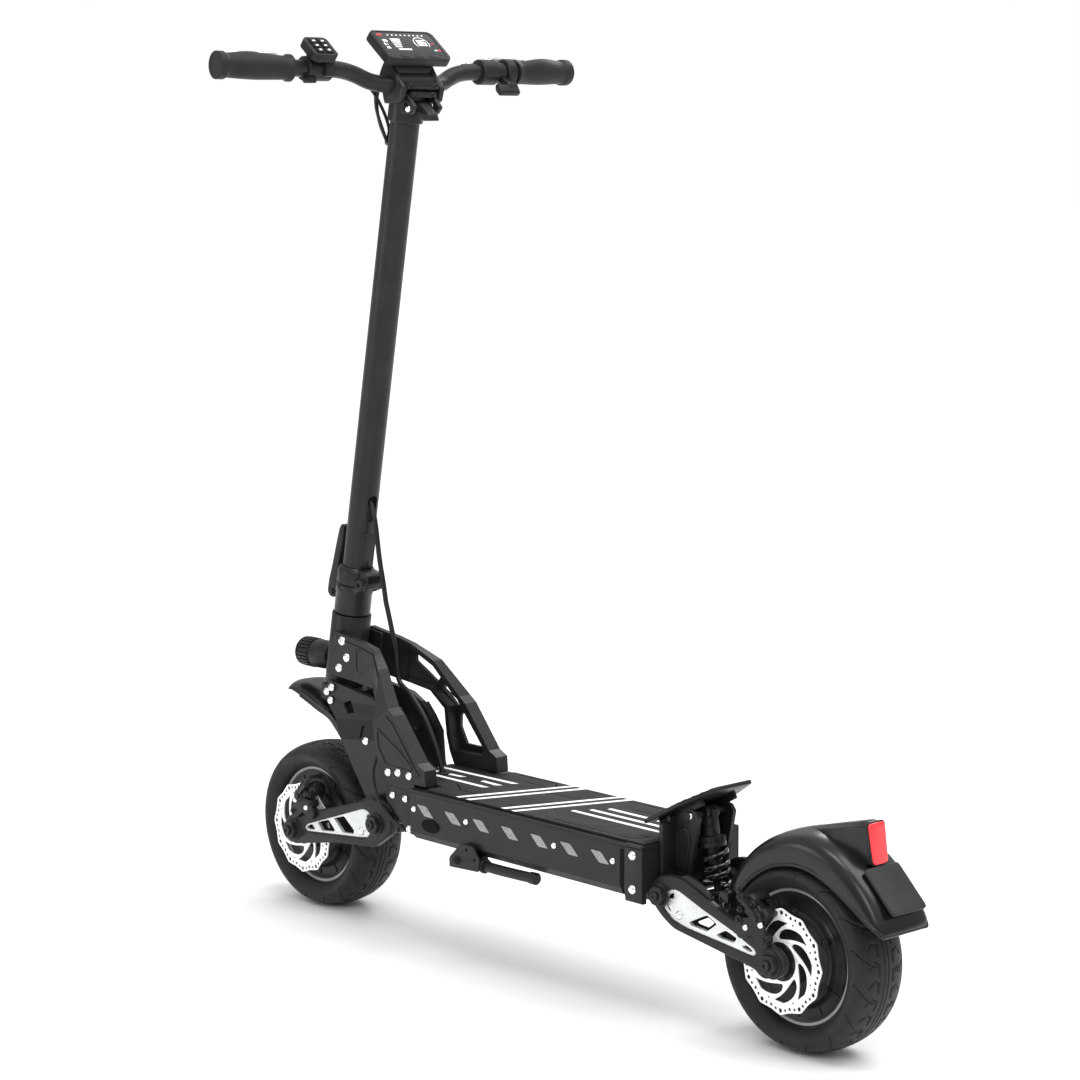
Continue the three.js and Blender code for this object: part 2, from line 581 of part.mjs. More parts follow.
function barSolid(radius) {
  const right = BAR_PATH.slice(1).reverse().map(([x, y, z]) => [x, -y, z])
  return tube([...right, ...BAR_PATH], radius, 30, 10)
}
part('handlebar', barSolid(BAR.r), paint)
part('bar_clamp', barClamp(), alloy)

const tilted = (body, place) => body.rotate([0, -TILT, 0]).translate(place)

const buttonY = [26, 0, -26]
function displayUnit() {
  let slab = upright([[-33, -53], [-27, -59], [27, -59], [33, -53], [33, 53], [27, 59], [-27, 59],
    [-33, 53]], -8, 6)
  for (const y of buttonY) slab = slab.subtract(box([-30, -23.4], [y - 9, y + 9], [2.4, 8]))
  return tilted(slab, DISPLAY_AT)
}
part('display_unit', displayUnit(), plastic)
for (const [i, name] of ['left', 'middle', 'right'].entries()) {
  part(`display_button_${name}`, tilted(box([-29.7, -23.7], [buttonY[i] - 8.6, buttonY[i] + 8.6],
    [4, 7]), DISPLAY_AT), rubber)
}

// ---- handlebar controls ----
function grip(side) {
  const flip = ([x, y, z]) => [x, side * y, z]
  const length = new THREE.Vector3(...GRIP.to).distanceTo(new THREE.Vector3(...GRIP.from))
  return turnedAlong([[BAR.r + 0.8, 0], [GRIP.cap, 0], [GRIP.cap, 5], [GRIP.r, 9],
    [GRIP.r, length - 14], [GRIP.cap, length - 11],
    [GRIP.cap, length - 2], [17, length], [0.01, length], [0.01, length - 5],
    [BAR.r + 0.8, length - 5]], flip(GRIP.from), flip(GRIP.to), 16)
}
part('grip_left', grip(1), rubber)
part('grip_right', grip(-1), rubber)

function perch(side) {
  const ring = bar([307.5, side * 142, 1267.5], [306.6, side * 160, 1267.5], 18, 14)
  const [y0, y1] = side > 0 ? [142, 160] : [-160, -142]
  const arm = box([316, LEVER_PIVOT.x + 8], [y0, y1], [1260, 1263.4])
    .add(box([316, LEVER_PIVOT.x + 8], [y0, y1], [1276.6, 1280]))
    .add(box([316, 324], [y0, y1], [1260, 1280]))
  const pin = bar([LEVER_PIVOT.x, side * LEVER_PIVOT.y, 1261], [LEVER_PIVOT.x,
    side * LEVER_PIVOT.y, 1279], 3, 10)
  return join(ring, arm, pin)
}

function switchPod() {
  const ring = bar([306.8, 163, 1267.5], [306.2, 182, 1267.5], 17, 14)
  const pod = upright([[-20, -24], [20, -24], [24, -18], [24, 18], [18, 25], [-16, 25], [-24, 16],
    [-24, -16]], -9, 6)
  const pocket = box([-18, 18], [-17.5, 17.5], [2.5, 8])
  const post = bar([306.6, 168, 1272], [294, 168, 1292], 11, 12)
  const link = bar([307, 158, 1267.5], [306.6, 166, 1267.5], 15, 12)
  return join(perch(1), ring, link, post.add(tilted(pod, POD_AT))).subtract(tilted(pocket, POD_AT))
    .subtract(barSolid(BAR.r + 0.35))
}
part('switch_pod', switchPod(), plastic)

function podKeypad() {
  let pad = box([-17.6, 17.6], [-17, 17], [3.6, 5.2])
  for (const x of [-11.5, 0, 11.5]) {
    for (const y of [-8.5, 8.5]) pad = pad.add(box([x - 4.4, x + 4.4], [y - 6, y + 6], [5, 8]))
  }
  return tilted(pad, POD_AT)
}
part('pod_keypad', podKeypad(), rubber)

function throttleHousing() {
  const ring = bar([307.4, -160, 1267.5], [306.9, -172, 1267.5], 19, 14)
  const drum = bar([306.8, -188, 1267.5], [306.3, -204, 1267.5], 20, 14)
  const spine = box([322, 326.5], [-203, -160], [1258, 1278])
  const bridge = box([312, 326], [-203, -189], [1260, 1276])
  const rootBridge = box([312, 326], [-171, -160], [1260, 1276])
  return join(perch(-1), ring, drum, spine, bridge, rootBridge).subtract(barSolid(BAR.r + 0.35))
}
part('throttle_housing', throttleHousing(), plastic)

function throttleLever() {
  const ring = bar([306.8, -173, 1267.5], [306.4, -187, 1267.5], 15.1, 20)
  const paddle = sidePlate([[300, 1258], [296, 1262], [279, 1252], [276, 1236], [284, 1234],
    [290, 1246], [303, 1256]], -194, -176)
    .subtract(bar([306.8, -187.4, 1267.5], [306.3, -206, 1267.5], 21, 14))
  return join(ring, paddle)
    .subtract(bar([306.9, -170, 1267.5], [306.3, -197, 1267.5], BAR.r + 1.3, 24))
}
part('throttle_lever', throttleLever(), plastic)

function brakeLever(side) {
  const blade = [[332, 158], [334, 142], [342, 141], [350, 146], [358, 170], [363, 220], [369, 285],
    [375, 300], [372, 308], [364, 306], [355, 285], [350, 220], [344, 172]]
  const points = blade.map(([x, y]) => [x, side * y])
  if (side < 0) points.reverse()
  return upright(points, 1264, 1276)
    .subtract(bar([LEVER_PIVOT.x, side * LEVER_PIVOT.y, 1255],
      [LEVER_PIVOT.x, side * LEVER_PIVOT.y, 1285], 3.4, 10))
}
part('brake_lever_left', brakeLever(1), silver)
part('brake_lever_right', brakeLever(-1), silver)

// ---- kickstand ----
function kickstandLeg() {
  const { x, y, z } = KICKSTAND
  const shaft = bar([x, 62, z], [x, y + 4, z], 5)
  const elbow = bar([x, y + 2, z], [x, y + 2, z - 8], 6.5)
  const rod = tube([[x + 2, y + 3, z - 1], [x - 14, y + 4, z - 5], [x - 60, y + 5, z - 4.5],
    [x - 146, y + 6, z - 2]], 6, 8, 10)
  const toe = bar([x - 140, y + 6, z - 2.2], [x - 154, y + 6, z - 1.6], 8)
  return join(shaft, elbow, rod, toe)
}
part('kickstand_leg', kickstandLeg(), steel)

// ---- cables ----
const cableBreak = [361, 0, 486]
part('main_cable_upper', tube([[398, 0, 634], [388, 0, 622], [381, 0, 600], [374, 0, 550],
  [367, 0, 515], cableBreak], 3.8, 12, 8), rubber)
part('main_cable_lower', tube([[360.8, 0, 485.2], [350, 0, 452], [341, 0, 420], [338, 0, 390],
  [330, 0, 368], [305, 0, 352], [276, 0, 325], [250, 0, 285], [232, 0, 244], [222, 0, 222],
  [206, 0, 216], [193, 0, 216]], 3.8, 24, 8), rubber)

function barCables() {
  const entry = [338, 8, 1166]
  const left = tube([[326, 138, 1262], [333, 110, 1252], [350, 60, 1232], [358, 30, 1206], entry],
    2.4, 7, 8)
  const right = tube([[326, -138, 1262], [336, -105, 1246], [352, -55, 1222], [352, -15, 1192],
    entry], 2.4, 7, 8)
  const lead = tube([[322, 16, 1290], [336, 19, 1262], [345, 20, 1225], [345, 16, 1195], entry],
    2.4, 6, 8)
  const plug = bar(stemPoint(1052, 22.3), stemPoint(1052, 34), 7, 12)
  return join(left, right, lead, plug, bar(entry, stemPoint(1052, 28), 5, 8))
}
part('bar_cable_harness', barCables(), rubber)

export default scooter
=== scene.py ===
import math

import bmesh
import bpy
import numpy as np
from mathutils import Matrix, Vector


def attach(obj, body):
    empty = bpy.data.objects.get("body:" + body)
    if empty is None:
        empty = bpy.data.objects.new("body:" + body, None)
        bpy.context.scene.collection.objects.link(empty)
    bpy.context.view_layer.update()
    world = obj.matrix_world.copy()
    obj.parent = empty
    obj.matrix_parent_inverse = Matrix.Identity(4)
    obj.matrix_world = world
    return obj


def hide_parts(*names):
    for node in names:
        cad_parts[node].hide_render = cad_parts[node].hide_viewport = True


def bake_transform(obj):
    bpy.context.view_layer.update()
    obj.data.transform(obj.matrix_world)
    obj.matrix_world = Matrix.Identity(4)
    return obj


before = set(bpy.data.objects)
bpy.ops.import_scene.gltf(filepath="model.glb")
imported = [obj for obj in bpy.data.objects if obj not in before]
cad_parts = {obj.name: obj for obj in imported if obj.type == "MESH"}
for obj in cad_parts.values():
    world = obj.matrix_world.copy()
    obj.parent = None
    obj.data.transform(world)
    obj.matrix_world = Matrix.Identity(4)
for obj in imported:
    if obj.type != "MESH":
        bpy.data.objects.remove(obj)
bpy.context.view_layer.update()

# ---- driving dimensions, in millimetres ----
SHIFT = 15.4  # from the middle of the wheelbase to the middle of the whole length
AXLE_X, AXLE_Z = 497.2, 127.0
STEER_X, RAKE = 504.3, 10.53  # where the steering axis meets the axle's height; its lean in degrees
REAR_PIVOT, FRONT_PIVOT = (-296, 178), (298, 169.5)
ARM_IN, ARM_OUT = 64, 76  # the faces of an arm's side plate, across the scooter
RIM_R, TYRE_R, DISC_Y = 89, 127, 57
DECK_TOP, MAT_TOP = 241, 244.5
RAIL_OUT = 91  # half the width over the side rails
BAR_R = 12
BAR_PATH = [(292, 0, 1246), (293, 42, 1246.5), (302, 68, 1251), (308, 92, 1261), (308.5, 118, 1266.5),
    (307, 150, 1267.5), (306, 205, 1267.6), (311.3, 261.5, 1268.7), (316.6, 318, 1269.8)]
GRIP_Z = 1267.5  # the height of the bar where the controls are clamped
TILT = 39  # of the display and the switch pod, in degrees
DISPLAY_AT, POD_AT = (296, 0, 1298.5), (289, 168, 1293.5)
POD_SIZE = 0.88
HINGE_X, HINGE_Z = -33.8, 394.3  # the stem's fold axis, along the steering axis
LATCH_X, LATCH_Z = 40, 362
BRAKE_X, BRAKE_Y = 338, 150  # the brake levers' pivots
REAR_SHOCK_TOP, FRONT_SHOCK_TOP = (-311, 281), (345, 318)
STAND_X, STAND_Z = 88, 158
NOSE_HOLE_X, NOSE_HOLE_R = 232, 6
CABLE_R, BAR_CABLE_R = 3.8, 2.4
BREAK = (361, 0, 485.6)  # where the upper run of the main cable meets the lower run
TURN = 2 * math.pi


def shift(x=0.0, y=0.0, z=0.0):
    return Matrix.Translation((x, y, z))


def spin(degrees, axis):
    return Matrix.Rotation(math.radians(degrees), 4, axis)


METRES = Matrix.Scale(0.001, 4) @ shift(SHIFT)
STEER = shift(STEER_X, 0, AXLE_Z) @ spin(-RAKE, "Y")
FACING_Y = spin(90, "X")  # drawing plane XY to the side plane XZ
MIRROR = Matrix.Diagonal((1, -1, 1, 1))


# ---- materials ----
def put(node, values):
    """Values for a node's inputs, by name."""
    for name, value in values.items():
        node.inputs[name].default_value = value


def ramp(tree, source, low, high, below, above):
    """One color below low, another above high, and a blend of them in between."""
    node = tree.nodes.new("ShaderNodeValToRGB")
    for stop, position, color in zip(node.color_ramp.elements, (low, high), (below, above)):
        stop.position, stop.color = position, (*color, 1)
    tree.links.new(source, node.inputs["Fac"])
    return node.outputs["Color"]


def mixed(tree, share, first, color):
    """A color socket that goes over to a plain color by a share."""
    node = tree.nodes.new("ShaderNodeMixRGB")
    tree.links.new(share, node.inputs["Fac"])
    tree.links.new(first, node.inputs["Color1"])
    node.inputs["Color2"].default_value = (*color, 1)
    return node.outputs["Color"]


def surface(name, color, rough, metal=0.0, grain=0.0, grain_size=0.6, mottle=0.12, speckle=None, coat=0.0,
        sheen=0.0, glow=0.0, gleam=0.24, wear=0.06):
    """A finish with cloudy tone, uneven gloss and fine grain in relief; sizes in millimetres."""
    material = bpy.data.materials.new(name)
    material.use_nodes = True
    tree = material.node_tree
    nodes, links = tree.nodes, tree.links
    shader = nodes["Principled BSDF"]
    put(shader, {"Metallic": metal, "Specular IOR Level": gleam, "Coat Weight": coat,
        "Coat Roughness": 0.12, "Sheen Weight": sheen, "Sheen Roughness": 0.4})
    place = nodes.new("ShaderNodeTexCoord").outputs["Object"]

    def noise(size, detail=3.0):
        node = nodes.new("ShaderNodeTexNoise")
        put(node, {"Scale": 1000 / size, "Detail": detail, "Roughness": 0.55})
        links.new(place, node.inputs["Vector"])
        return node.outputs["Fac"]

    dark = [c * (1 - mottle) for c in color]
    light = [min(1.0, c * (1 + mottle) + 0.002) for c in color]
    tone = ramp(tree, noise(45), 0.3, 0.7, dark, light)
    if speckle:
        size, share, spot = speckle
        mask = ramp(tree, noise(size, 1.0), share, share + 0.06, (0, 0, 0), (1, 1, 1))
        tone = mixed(tree, mask, tone, spot)
    links.new(tone, shader.inputs["Base Color"])
    gloss = nodes.new("ShaderNodeMapRange")
    put(gloss, {"From Min": 0.3, "From Max": 0.7, "To Min": max(0.02, rough - wear),
        "To Max": rough + wear})
    links.new(noise(18, 4.0), gloss.inputs["Value"])
    links.new(gloss.outputs["Result"], shader.inputs["Roughness"])
    if grain:
        bump = nodes.new("ShaderNodeBump")
        put(bump, {"Strength": grain, "Distance": 0.0002})
        links.new(noise(grain_size, 2.0), bump.inputs["Height"])
        links.new(bump.outputs["Normal"], shader.inputs["Normal"])
    # Emission: lamps and lit display marks shine by it; on the brake disc it is a painted glow.
    if glow:
        put(shader, {"Emission Color": (*color, 1), "Emission Strength": glow})
    return material


PAINT = surface("powder_coat", (0.013, 0.0133, 0.0142), 0.38, grain=0.25, grain_size=0.9)
ALLOY = surface("dark_anodised", (0.018, 0.0185, 0.020), 0.34, 0.25, grain=0.12)
STEEL = surface("bright_steel", (0.80, 0.80, 0.82), 0.20, 1.0, mottle=0.04)
CHROME = surface("bright_bolts", (0.90, 0.90, 0.92), 0.12, 1.0, mottle=0.03)
# The disc's glow is painted light that brightens the ground steel toward white.
DISC = surface("ground_disc_painted_glow", (0.93, 0.93, 0.94), 0.34, 0.4, grain=0.06, mottle=0.03, glow=0.08)
INSERT = surface("blasted_silver", (0.25, 0.255, 0.26), 0.45, 0.3, grain=0.5, grain_size=1.6,
    speckle=(1.5, 0.56, (0.46, 0.47, 0.47)))
ARM_INSERT = surface("bright_insert", (0.66, 0.68, 0.68), 0.34, 0.5, grain=0.4, grain_size=1.4,
    speckle=(1.3, 0.57, (0.85, 0.87, 0.86)))
LEVER = surface("lever_silver", (0.68, 0.70, 0.70), 0.30, 0.85, grain=0.1)
RIM = surface("rim_grey", (0.30, 0.305, 0.31), 0.42, 0.5, grain=0.1)
PLASTIC = surface("moulded_plastic", (0.011, 0.0113, 0.012), 0.42, grain=0.35, grain_size=0.7)
FENDER = surface("satin_plastic", (0.007, 0.0072, 0.008), 0.24, grain=0.04, grain_size=0.7, gleam=0.34,
    wear=0.015)
PLATE = surface("plate_plastic", (0.022, 0.022, 0.0235), 0.5, grain=0.2)
RUBBER = surface("soft_rubber", (0.013, 0.0133, 0.0145), 0.55, grain=0.5, grain_size=0.5, sheen=0.04)
TYRE = surface("tyre_rubber", (0.014, 0.014, 0.0148), 0.5, grain=0.3, grain_size=0.8, sheen=0.03)
CABLE = surface("cable_sheath", (0.009, 0.009, 0.0095), 0.34, grain=0.1)
GRIT = surface("grip_tape", (0.012, 0.012, 0.013), 0.62, grain=0.9, grain_size=1.1, mottle=0.2,
    speckle=(0.9, 0.66, (0.035, 0.035, 0.038)))
STRIPE = surface("printed_white", (0.88, 0.88, 0.88), 0.5, grain=0.4, grain_size=1.0, mottle=0.04)
SPRING = surface("spring_lacquer", (0.008, 0.008, 0.0085), 0.16, 0.2, coat=0.6)
# Near-black: the charge port cover's own colour, and painted shade on the dark sheets behind windows, in
# gaps and in pin sockets.
BLACK_AND_PAINTED_SHADE = surface("black_and_painted_shade", (0.003, 0.003, 0.003), 0.7, gleam=0.1)
SCREEN = surface("screen", (0.028, 0.029, 0.032), 0.14, coat=0.2)
RED = surface("red_lens", (0.85, 0.03, 0.035), 0.12, coat=0.4, glow=0.75)
LENS = surface("lamp_lens", (0.80, 0.82, 0.84), 0.08, coat=0.5, glow=0.15)
WRAP = surface("battery_wrap", (0.05, 0.12, 0.28), 0.35)
WHITE_LIT = surface("lit_white", (0.85, 0.87, 0.86), 0.4, glow=0.5)
RED_LIT = surface("lit_red", (0.75, 0.04, 0.05), 0.4, glow=0.6)
GREEN_LIT = surface("lit_green", (0.45, 0.62, 0.50), 0.4, glow=0.35)


# ---- shapes: each returns a bmesh in millimetres ----
def held(bm, name):
    """The bmesh as an object in the scene."""
    mesh = bpy.data.meshes.new(name)
    bm.to_mesh(mesh)
    bm.free()
    piece = bpy.data.objects.new(name, mesh)
    bpy.context.scene.collection.objects.link(piece)
    return piece


def emit(name, bm, material, body, replaces=(), smooth=35, soften=0.0):
    """The bmesh as a piece of the scooter, in metres, riding on a body, or on none yet."""
    bmesh.ops.recalc_face_normals(bm, faces=bm.faces)
    bm.transform(METRES)
    piece = held(bm, name)
    piece.data.materials.append(material)
    piece.data.shade_smooth()
    piece.data.set_sharp_from_angle(angle=math.radians(smooth))
    if soften:
        round_edges(piece, soften)
    if body:
        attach(piece, body)
    if replaces:
        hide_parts(*replaces)
    return piece


def round_edges(piece, width):
    """Edges over 28 degrees get a small radius, in millimetres."""
    flat = piece.modifiers.new("merge_flats", "DECIMATE")
    flat.decimate_type = "DISSOLVE"
    flat.angle_limit = math.radians(1)
    bevel = piece.modifiers.new("edge_radius", "BEVEL")
    bevel.width, bevel.segments = width / 1000, 2
    bevel.limit_method, bevel.angle_limit = "ANGLE", math.radians(28)
    bevel.harden_normals = True


def result_of(*holders):
    """What the first object is with its modifiers; all the objects are taken away."""
    graph = bpy.context.evaluated_depsgraph_get()
    result = bmesh.new()
    result.from_mesh(holders[0].evaluated_get(graph).to_mesh())
    for holder in holders:
        bpy.data.objects.remove(holder)
    return result


def skin(bm, rings):
    """Faces between neighbouring rings of the same count, and over both ends."""
    for low, high in zip(rings, rings[1:]):
        for k in range(len(low)):
            j = (k + 1) % len(low)
            bm.faces.new((low[k], low[j], high[j], high[k]))
    bm.faces.new(rings[0])
    bm.faces.new(reversed(rings[-1]))
    return bm


def skinned(rows):
    """A closed body over rows of points that go all the way round."""
    bm = bmesh.new()
    return skin(bm, [[bm.verts.new(p) for p in row] for row in rows])


def merged(*shapes):
    """Several bmeshes as one."""
    total = bmesh.new()
    for bm in shapes:
        mesh = bpy.data.meshes.new("part")
        bm.to_mesh(mesh)
        bm.free()
        total.from_mesh(mesh)
        bpy.data.meshes.remove(mesh)
    return total


def moved(bm, *matrices):
    for matrix in matrices:
        bm.transform(matrix)
    return bm


def turned(profile, segments=64, hexagon=()):
    """(radius, height) points turned about Z; rows named in hexagon are six-sided."""
    bm = bmesh.new()
    rings = []
    for row, (r, h) in enumerate(profile):
        if r < 0.02:
            rings.append([bm.verts.new((0, 0, h))])
            continue
        rings.append([])
        for i in range(segments):
            a = TURN * i / segments
            reach = r
            if row in hexagon:
                reach = r * math.cos(math.pi / 6) / math.cos(a % (math.pi / 3) - math.pi / 6)
            rings[-1].append(bm.verts.new((*at_angle(reach, a), h)))
    for low, high in zip(rings, rings[1:]):
        for i in range(segments):
            j = (i + 1) % segments
            if len(low) > 1 and len(high) > 1:
                bm.faces.new((low[i], low[j], high[j], high[i]))
            elif len(high) > 1:
                bm.faces.new((low[0], high[j], high[i]))
            elif len(low) > 1:
                bm.faces.new((low[i], low[j], high[0]))
    return bm


def ring(profile, segments=64):
    """A closed ring: the profile comes back to its first point."""
    bm = turned([*profile, profile[0]], segments)
    bmesh.ops.remove_doubles(bm, verts=bm.verts, dist=1e-4)
    return bm


def towards(start, end):
    """The matrix that lays local Z from start towards end."""
    a, b = Vector(start), Vector(end)
    return Matrix.Translation(a) @ (b - a).to_track_quat("Z", "Y").to_matrix().to_4x4()


def about_y(x, z, y=0.0):
    """Local Z points along +Y from (x, y, z)."""
    return shift(x, y, z) @ spin(-90, "X")


def rod(start, end, radius, chamfer=0.6, segments=32):
    length = (Vector(end) - Vector(start)).length
    c = min(chamfer, radius * 0.4, length * 0.4)
    bm = turned([(0, 0), (radius - c, 0), (radius, c), (radius, length - c), (radius - c, length),
        (0, length)], segments)
    return moved(bm, towards(start, end))


def block(low, high, bevel=1.0, segments=2):
    """A box between two corners with rounded edges."""
    bm = bmesh.new()
    bmesh.ops.create_cube(bm, size=1)
    size = [b - a for a, b in zip(low, high)]
    middle = [(a + b) / 2 for a, b in zip(low, high)]
    bm.transform(Matrix.Translation(middle) @ Matrix.Diagonal((*size, 1)))
    if bevel:
        bmesh.ops.bevel(bm, geom=bm.edges, offset=min(bevel, min(size) * 0.45), segments=segments,
            profile=0.5, affect="EDGES")
    return bm


def plate(outer, holes, thickness, bevel=0.5, resolution=2):
    """An outline with holes in the XY plane, thick along Z about 0, with rounded edges."""
    curve = bpy.data.curves.new("outline", "CURVE")
    curve.dimensions, curve.fill_mode = "2D", "BOTH"
    curve.extrude = thickness / 2 - bevel
    curve.bevel_depth, curve.bevel_resolution, curve.offset = bevel, resolution, -bevel
    for points in (outer, *holes):
        spline = curve.splines.new("POLY")
        spline.points.add(len(points) - 1)
        for point, (x, y) in zip(spline.points, points):
            point.co = (x, y, 0, 1)
        spline.use_cyclic_u = True
    holder = bpy.data.objects.new("outline", curve)
    mesh = holder.to_mesh()
    bm = bmesh.new()
    bm.from_mesh(mesh)
    holder.to_mesh_clear()
    bpy.data.objects.remove(holder)
    bpy.data.curves.remove(curve)
    bmesh.ops.remove_doubles(bm, verts=bm.verts, dist=1e-3)
    return bm


def rounded(points, radius, steps=4):
    """The outline with its corners rounded."""
    result = []
    count = len(points)
    for i, corner in enumerate(points):
        here = Vector(corner)
        before, after = Vector(points[i - 1]) - here, Vector(points[(i + 1) % count]) - here
        reach = min(radius, before.length * 0.45, after.length * 0.45)
        a, b = here + before.normalized() * reach, here + after.normalized() * reach
        for k in range(steps + 1):
            t = k / steps
            result.append(tuple(a * (1 - t) ** 2 + here * 2 * t * (1 - t) + b * t * t))
    return result


def side_plate(outer, holes, y0, y1, bevel=0.5):
    """An (x, z) outline with holes, between two y."""
    bm = plate(outer, holes, abs(y1 - y0), bevel)
    return moved(bm, FACING_Y, shift(0, (y0 + y1) / 2, 0))


def panel(outer, corner, y0, y1, bevel=0.5, holes=()):
    """A side plate with rounded corners."""
    return side_plate(rounded(outer, corner), holes, y0, y1, bevel)


def slab(outer, z, thickness, bevel=0.5, resolution=2):
    """A lying plate about the height z."""
    return moved(plate(outer, [], thickness, bevel, resolution), shift(0, 0, z))


def oblong(half_x, half_y):
    """The corners of a rectangle about the middle."""
    return [(-half_x, -half_y), (half_x, -half_y), (half_x, half_y), (-half_x, half_y)]


def oval(x, z, half_x, half_z, lean=0.0, count=28):
    points = []
    for i in range(count):
        a = TURN * i / count
        u, v = half_x * math.cos(a), half_z * math.sin(a)
        points.append((x + u * math.cos(lean) - v * math.sin(lean),
            z + u * math.sin(lean) + v * math.cos(lean)))
    return points


def smooth_path(points, per_span=8):
    """Catmull-Rom points through a list of points."""
    p = [Vector(q) for q in points]
    p = [p[0] * 2 - p[1], *p, p[-1] * 2 - p[-2]]
    path = []
    for a, b, c, d in zip(p, p[1:], p[2:], p[3:]):
        for k in range(per_span):
            t = k / per_span
            path.append(0.5 * (2 * b + (c - a) * t + (2 * a - 5 * b + 4 * c - d) * t * t
                               + (3 * b - a - 3 * c + d) * t ** 3))
    return [*path, p[-2]]


def sweep(points, section, up=None):
    """A section of (side, lift) points carried down a path."""
    points = [Vector(p) for p in points]
    last = len(points) - 1
    normal = None
    rows = []
    for i, point in enumerate(points):
        way = (points[min(i + 1, last)] - points[max(i - 1, 0)]).normalized()
        if normal is None:
            normal = (Vector(up) if up else way.orthogonal()).normalized()
        normal = (normal - way * normal.dot(way)).normalized()
        side = way.cross(normal)
        rows.append([point + side * a + normal * b for a, b in section])
    return skinned(rows)


def circle(radius, sides=24):
    return oval(0, 0, radius, radius, count=sides)


def at_angle(radius, a):
    """The point at an angle in radians on a circle."""
    return radius * math.cos(a), radius * math.sin(a)


def tube(points, radius, sides=24):
    return sweep(smooth_path(points), circle(radius, sides))


def button_bolt(radius):
    """A button-head bolt with a hex socket; its seat is at height 0."""
    r = radius
    return turned([(0, -0.5), (r * 0.9, -0.5), (r, 0), (r * 0.98, r * 0.18), (r * 0.86, r * 0.4),
        (r * 0.62, r * 0.56), (r * 0.46, r * 0.6), (r * 0.42, r * 0.56), (r * 0.42, r * 0.2),
        (0, r * 0.16)], 36, hexagon=(6, 7, 8))


def hex_nut(radius, height, bolt):
    """A flanged hex nut with the end of its bolt, from height 0."""
    h = height
    return merged(turned([(0, 0), (radius * 1.18, 0), (radius * 1.18, h * 0.14), (radius * 1.08, h * 0.2),
        (0, h * 0.2)], 36), turned([(0, h * 0.2), (radius, h * 0.2), (radius, h * 0.88),
        (radius * 0.88, h), (bolt * 1.2, h), (bolt * 1.15, h * 0.9), (0, h * 0.9)], 36, hexagon=(1, 2)),
        turned([(0, h * 0.8), (bolt, h * 0.8), (bolt, h * 1.25), (bolt * 0.8, h * 1.4),
        (bolt * 0.4, h * 1.4), (bolt * 0.35, h * 1.25), (0, h * 1.25)], 24))


def bolts_across(spots, radius, y):
    """Button bolts at (x, z) spots, standing on the face at y."""
    return merged(*[moved(button_bolt(radius), about_y(x, z, y)) for x, z in spots])


def bolt_rows(name, body, *rows):
    """A piece of bright button bolts on both sides, from rows of (spots, radius, y)."""
    emit(name, both_sides(merged(*[bolts_across(*row) for row in rows])), CHROME, body)


def both_sides(bm):
    """The shape and its mirror image across the middle."""
    other = bm.copy()
    other.transform(MIRROR)
    bmesh.ops.reverse_faces(other, faces=other.faces)
    return merged(bm, other)


# ---- wheels ----
def tyre_profile(step=1.1):
    """(radius, y) points round the tyre's outside from bead to bead, evenly spaced."""
    half = [(RIM_R, -25), (92, -34), (100, -41.5), (109, -45), (117, -41.5), (122.6, -31), (125.8, -17),
        (TYRE_R, 0)]
    points = [Vector((r, y, 0)) for r, y in half + [(r, -y) for r, y in half[-2::-1]]]
    path = smooth_path(points, 24)
    lengths = np.cumsum([0] + [(b - a).length for a, b in zip(path, path[1:])])
    where = np.linspace(0, lengths[-1], int(lengths[-1] / step))
    r = np.interp(where, lengths, [p.x for p in path])
    y = np.interp(where, lengths, [p.y for p in path])
    return r, y, where - lengths[-1] / 2


def tread_depth(angle, across, pitch):
    """How deep the tread is cut, in millimetres, at an angle and a distance from the crown."""
    reach = np.abs(across)

    def cut(distance, width, depth):
        return depth * np.clip(1.6 - np.abs(distance) / (width / 2), 0, 1)

    side = np.where(across > 0, 0.0, 0.5)
    phase = angle / pitch + side
    depth = cut(reach - 3.6, 1.6, 1.4)
    dash = cut(reach - 13, 2.2, 2.2) * (phase % 1 < 0.66)
    around = ((phase / 2) % 1 - 0.5) * 2 * pitch * TYRE_R
    bend = 26 * np.clip((reach - 18) / 30, 0, 1) ** 1.5 - 13
    sweep_cut = cut((around - bend) * 0.8, 1.6, 1.7) * (reach > 17) * (reach < 52)
    short = (phase % 1 - 0.5) * pitch * TYRE_R
    nick = cut((short + (reach - 26) * 1.1) * 0.7, 1.8, 1.8) * (reach > 22) * (reach < 30)
    wide = cut((short - 5 - (reach - 19) * 0.9) * 0.7, 1.6, 1.6) * (reach > 16) * (reach < 21)
    for more in (dash, sweep_cut, nick, wide):
        depth = np.maximum(depth, more)
    return depth


def tyre(end, axle):
    r, y, across = tyre_profile()
    turns, repeats, tread_edge = 720, 32, 56
    angle = np.linspace(0, TURN, turns, endpoint=False)
    slope_r, slope_y = np.gradient(r), np.gradient(y)
    size = np.hypot(slope_r, slope_y)
    depth = tread_depth(angle[:, None], across[None, :], TURN / repeats)
    depth *= (np.abs(across) < tread_edge)[None, :]
    radius = r[None, :] - depth * (slope_y / size)[None, :]
    side = y[None, :] + depth * (slope_r / size)[None, :]
    points = np.stack([radius * np.sin(angle)[:, None], side, radius * np.cos(angle)[:, None]],
        axis=-1).reshape(-1, 3)
    points += np.array([axle, 0, AXLE_Z])
    rows = len(r)
    first = np.arange(turns)[:, None] * rows + np.arange(rows)[None, :]
    after = np.roll(first, -1, axis=0)
    quads = np.stack([first, after, np.roll(after, -1, axis=1), np.roll(first, -1, axis=1)], axis=-1)
    mesh = bpy.data.meshes.new("tyre")
    mesh.from_pydata(points.tolist(), [], quads.reshape(-1, 4).tolist())
    bm = bmesh.new()
    bm.from_mesh(mesh)
    bpy.data.meshes.remove(mesh)
    emit(f"{end}_tyre_tread", bm, TYRE, f"{end}_wheel", [f"{end}_tyre"], smooth=50)


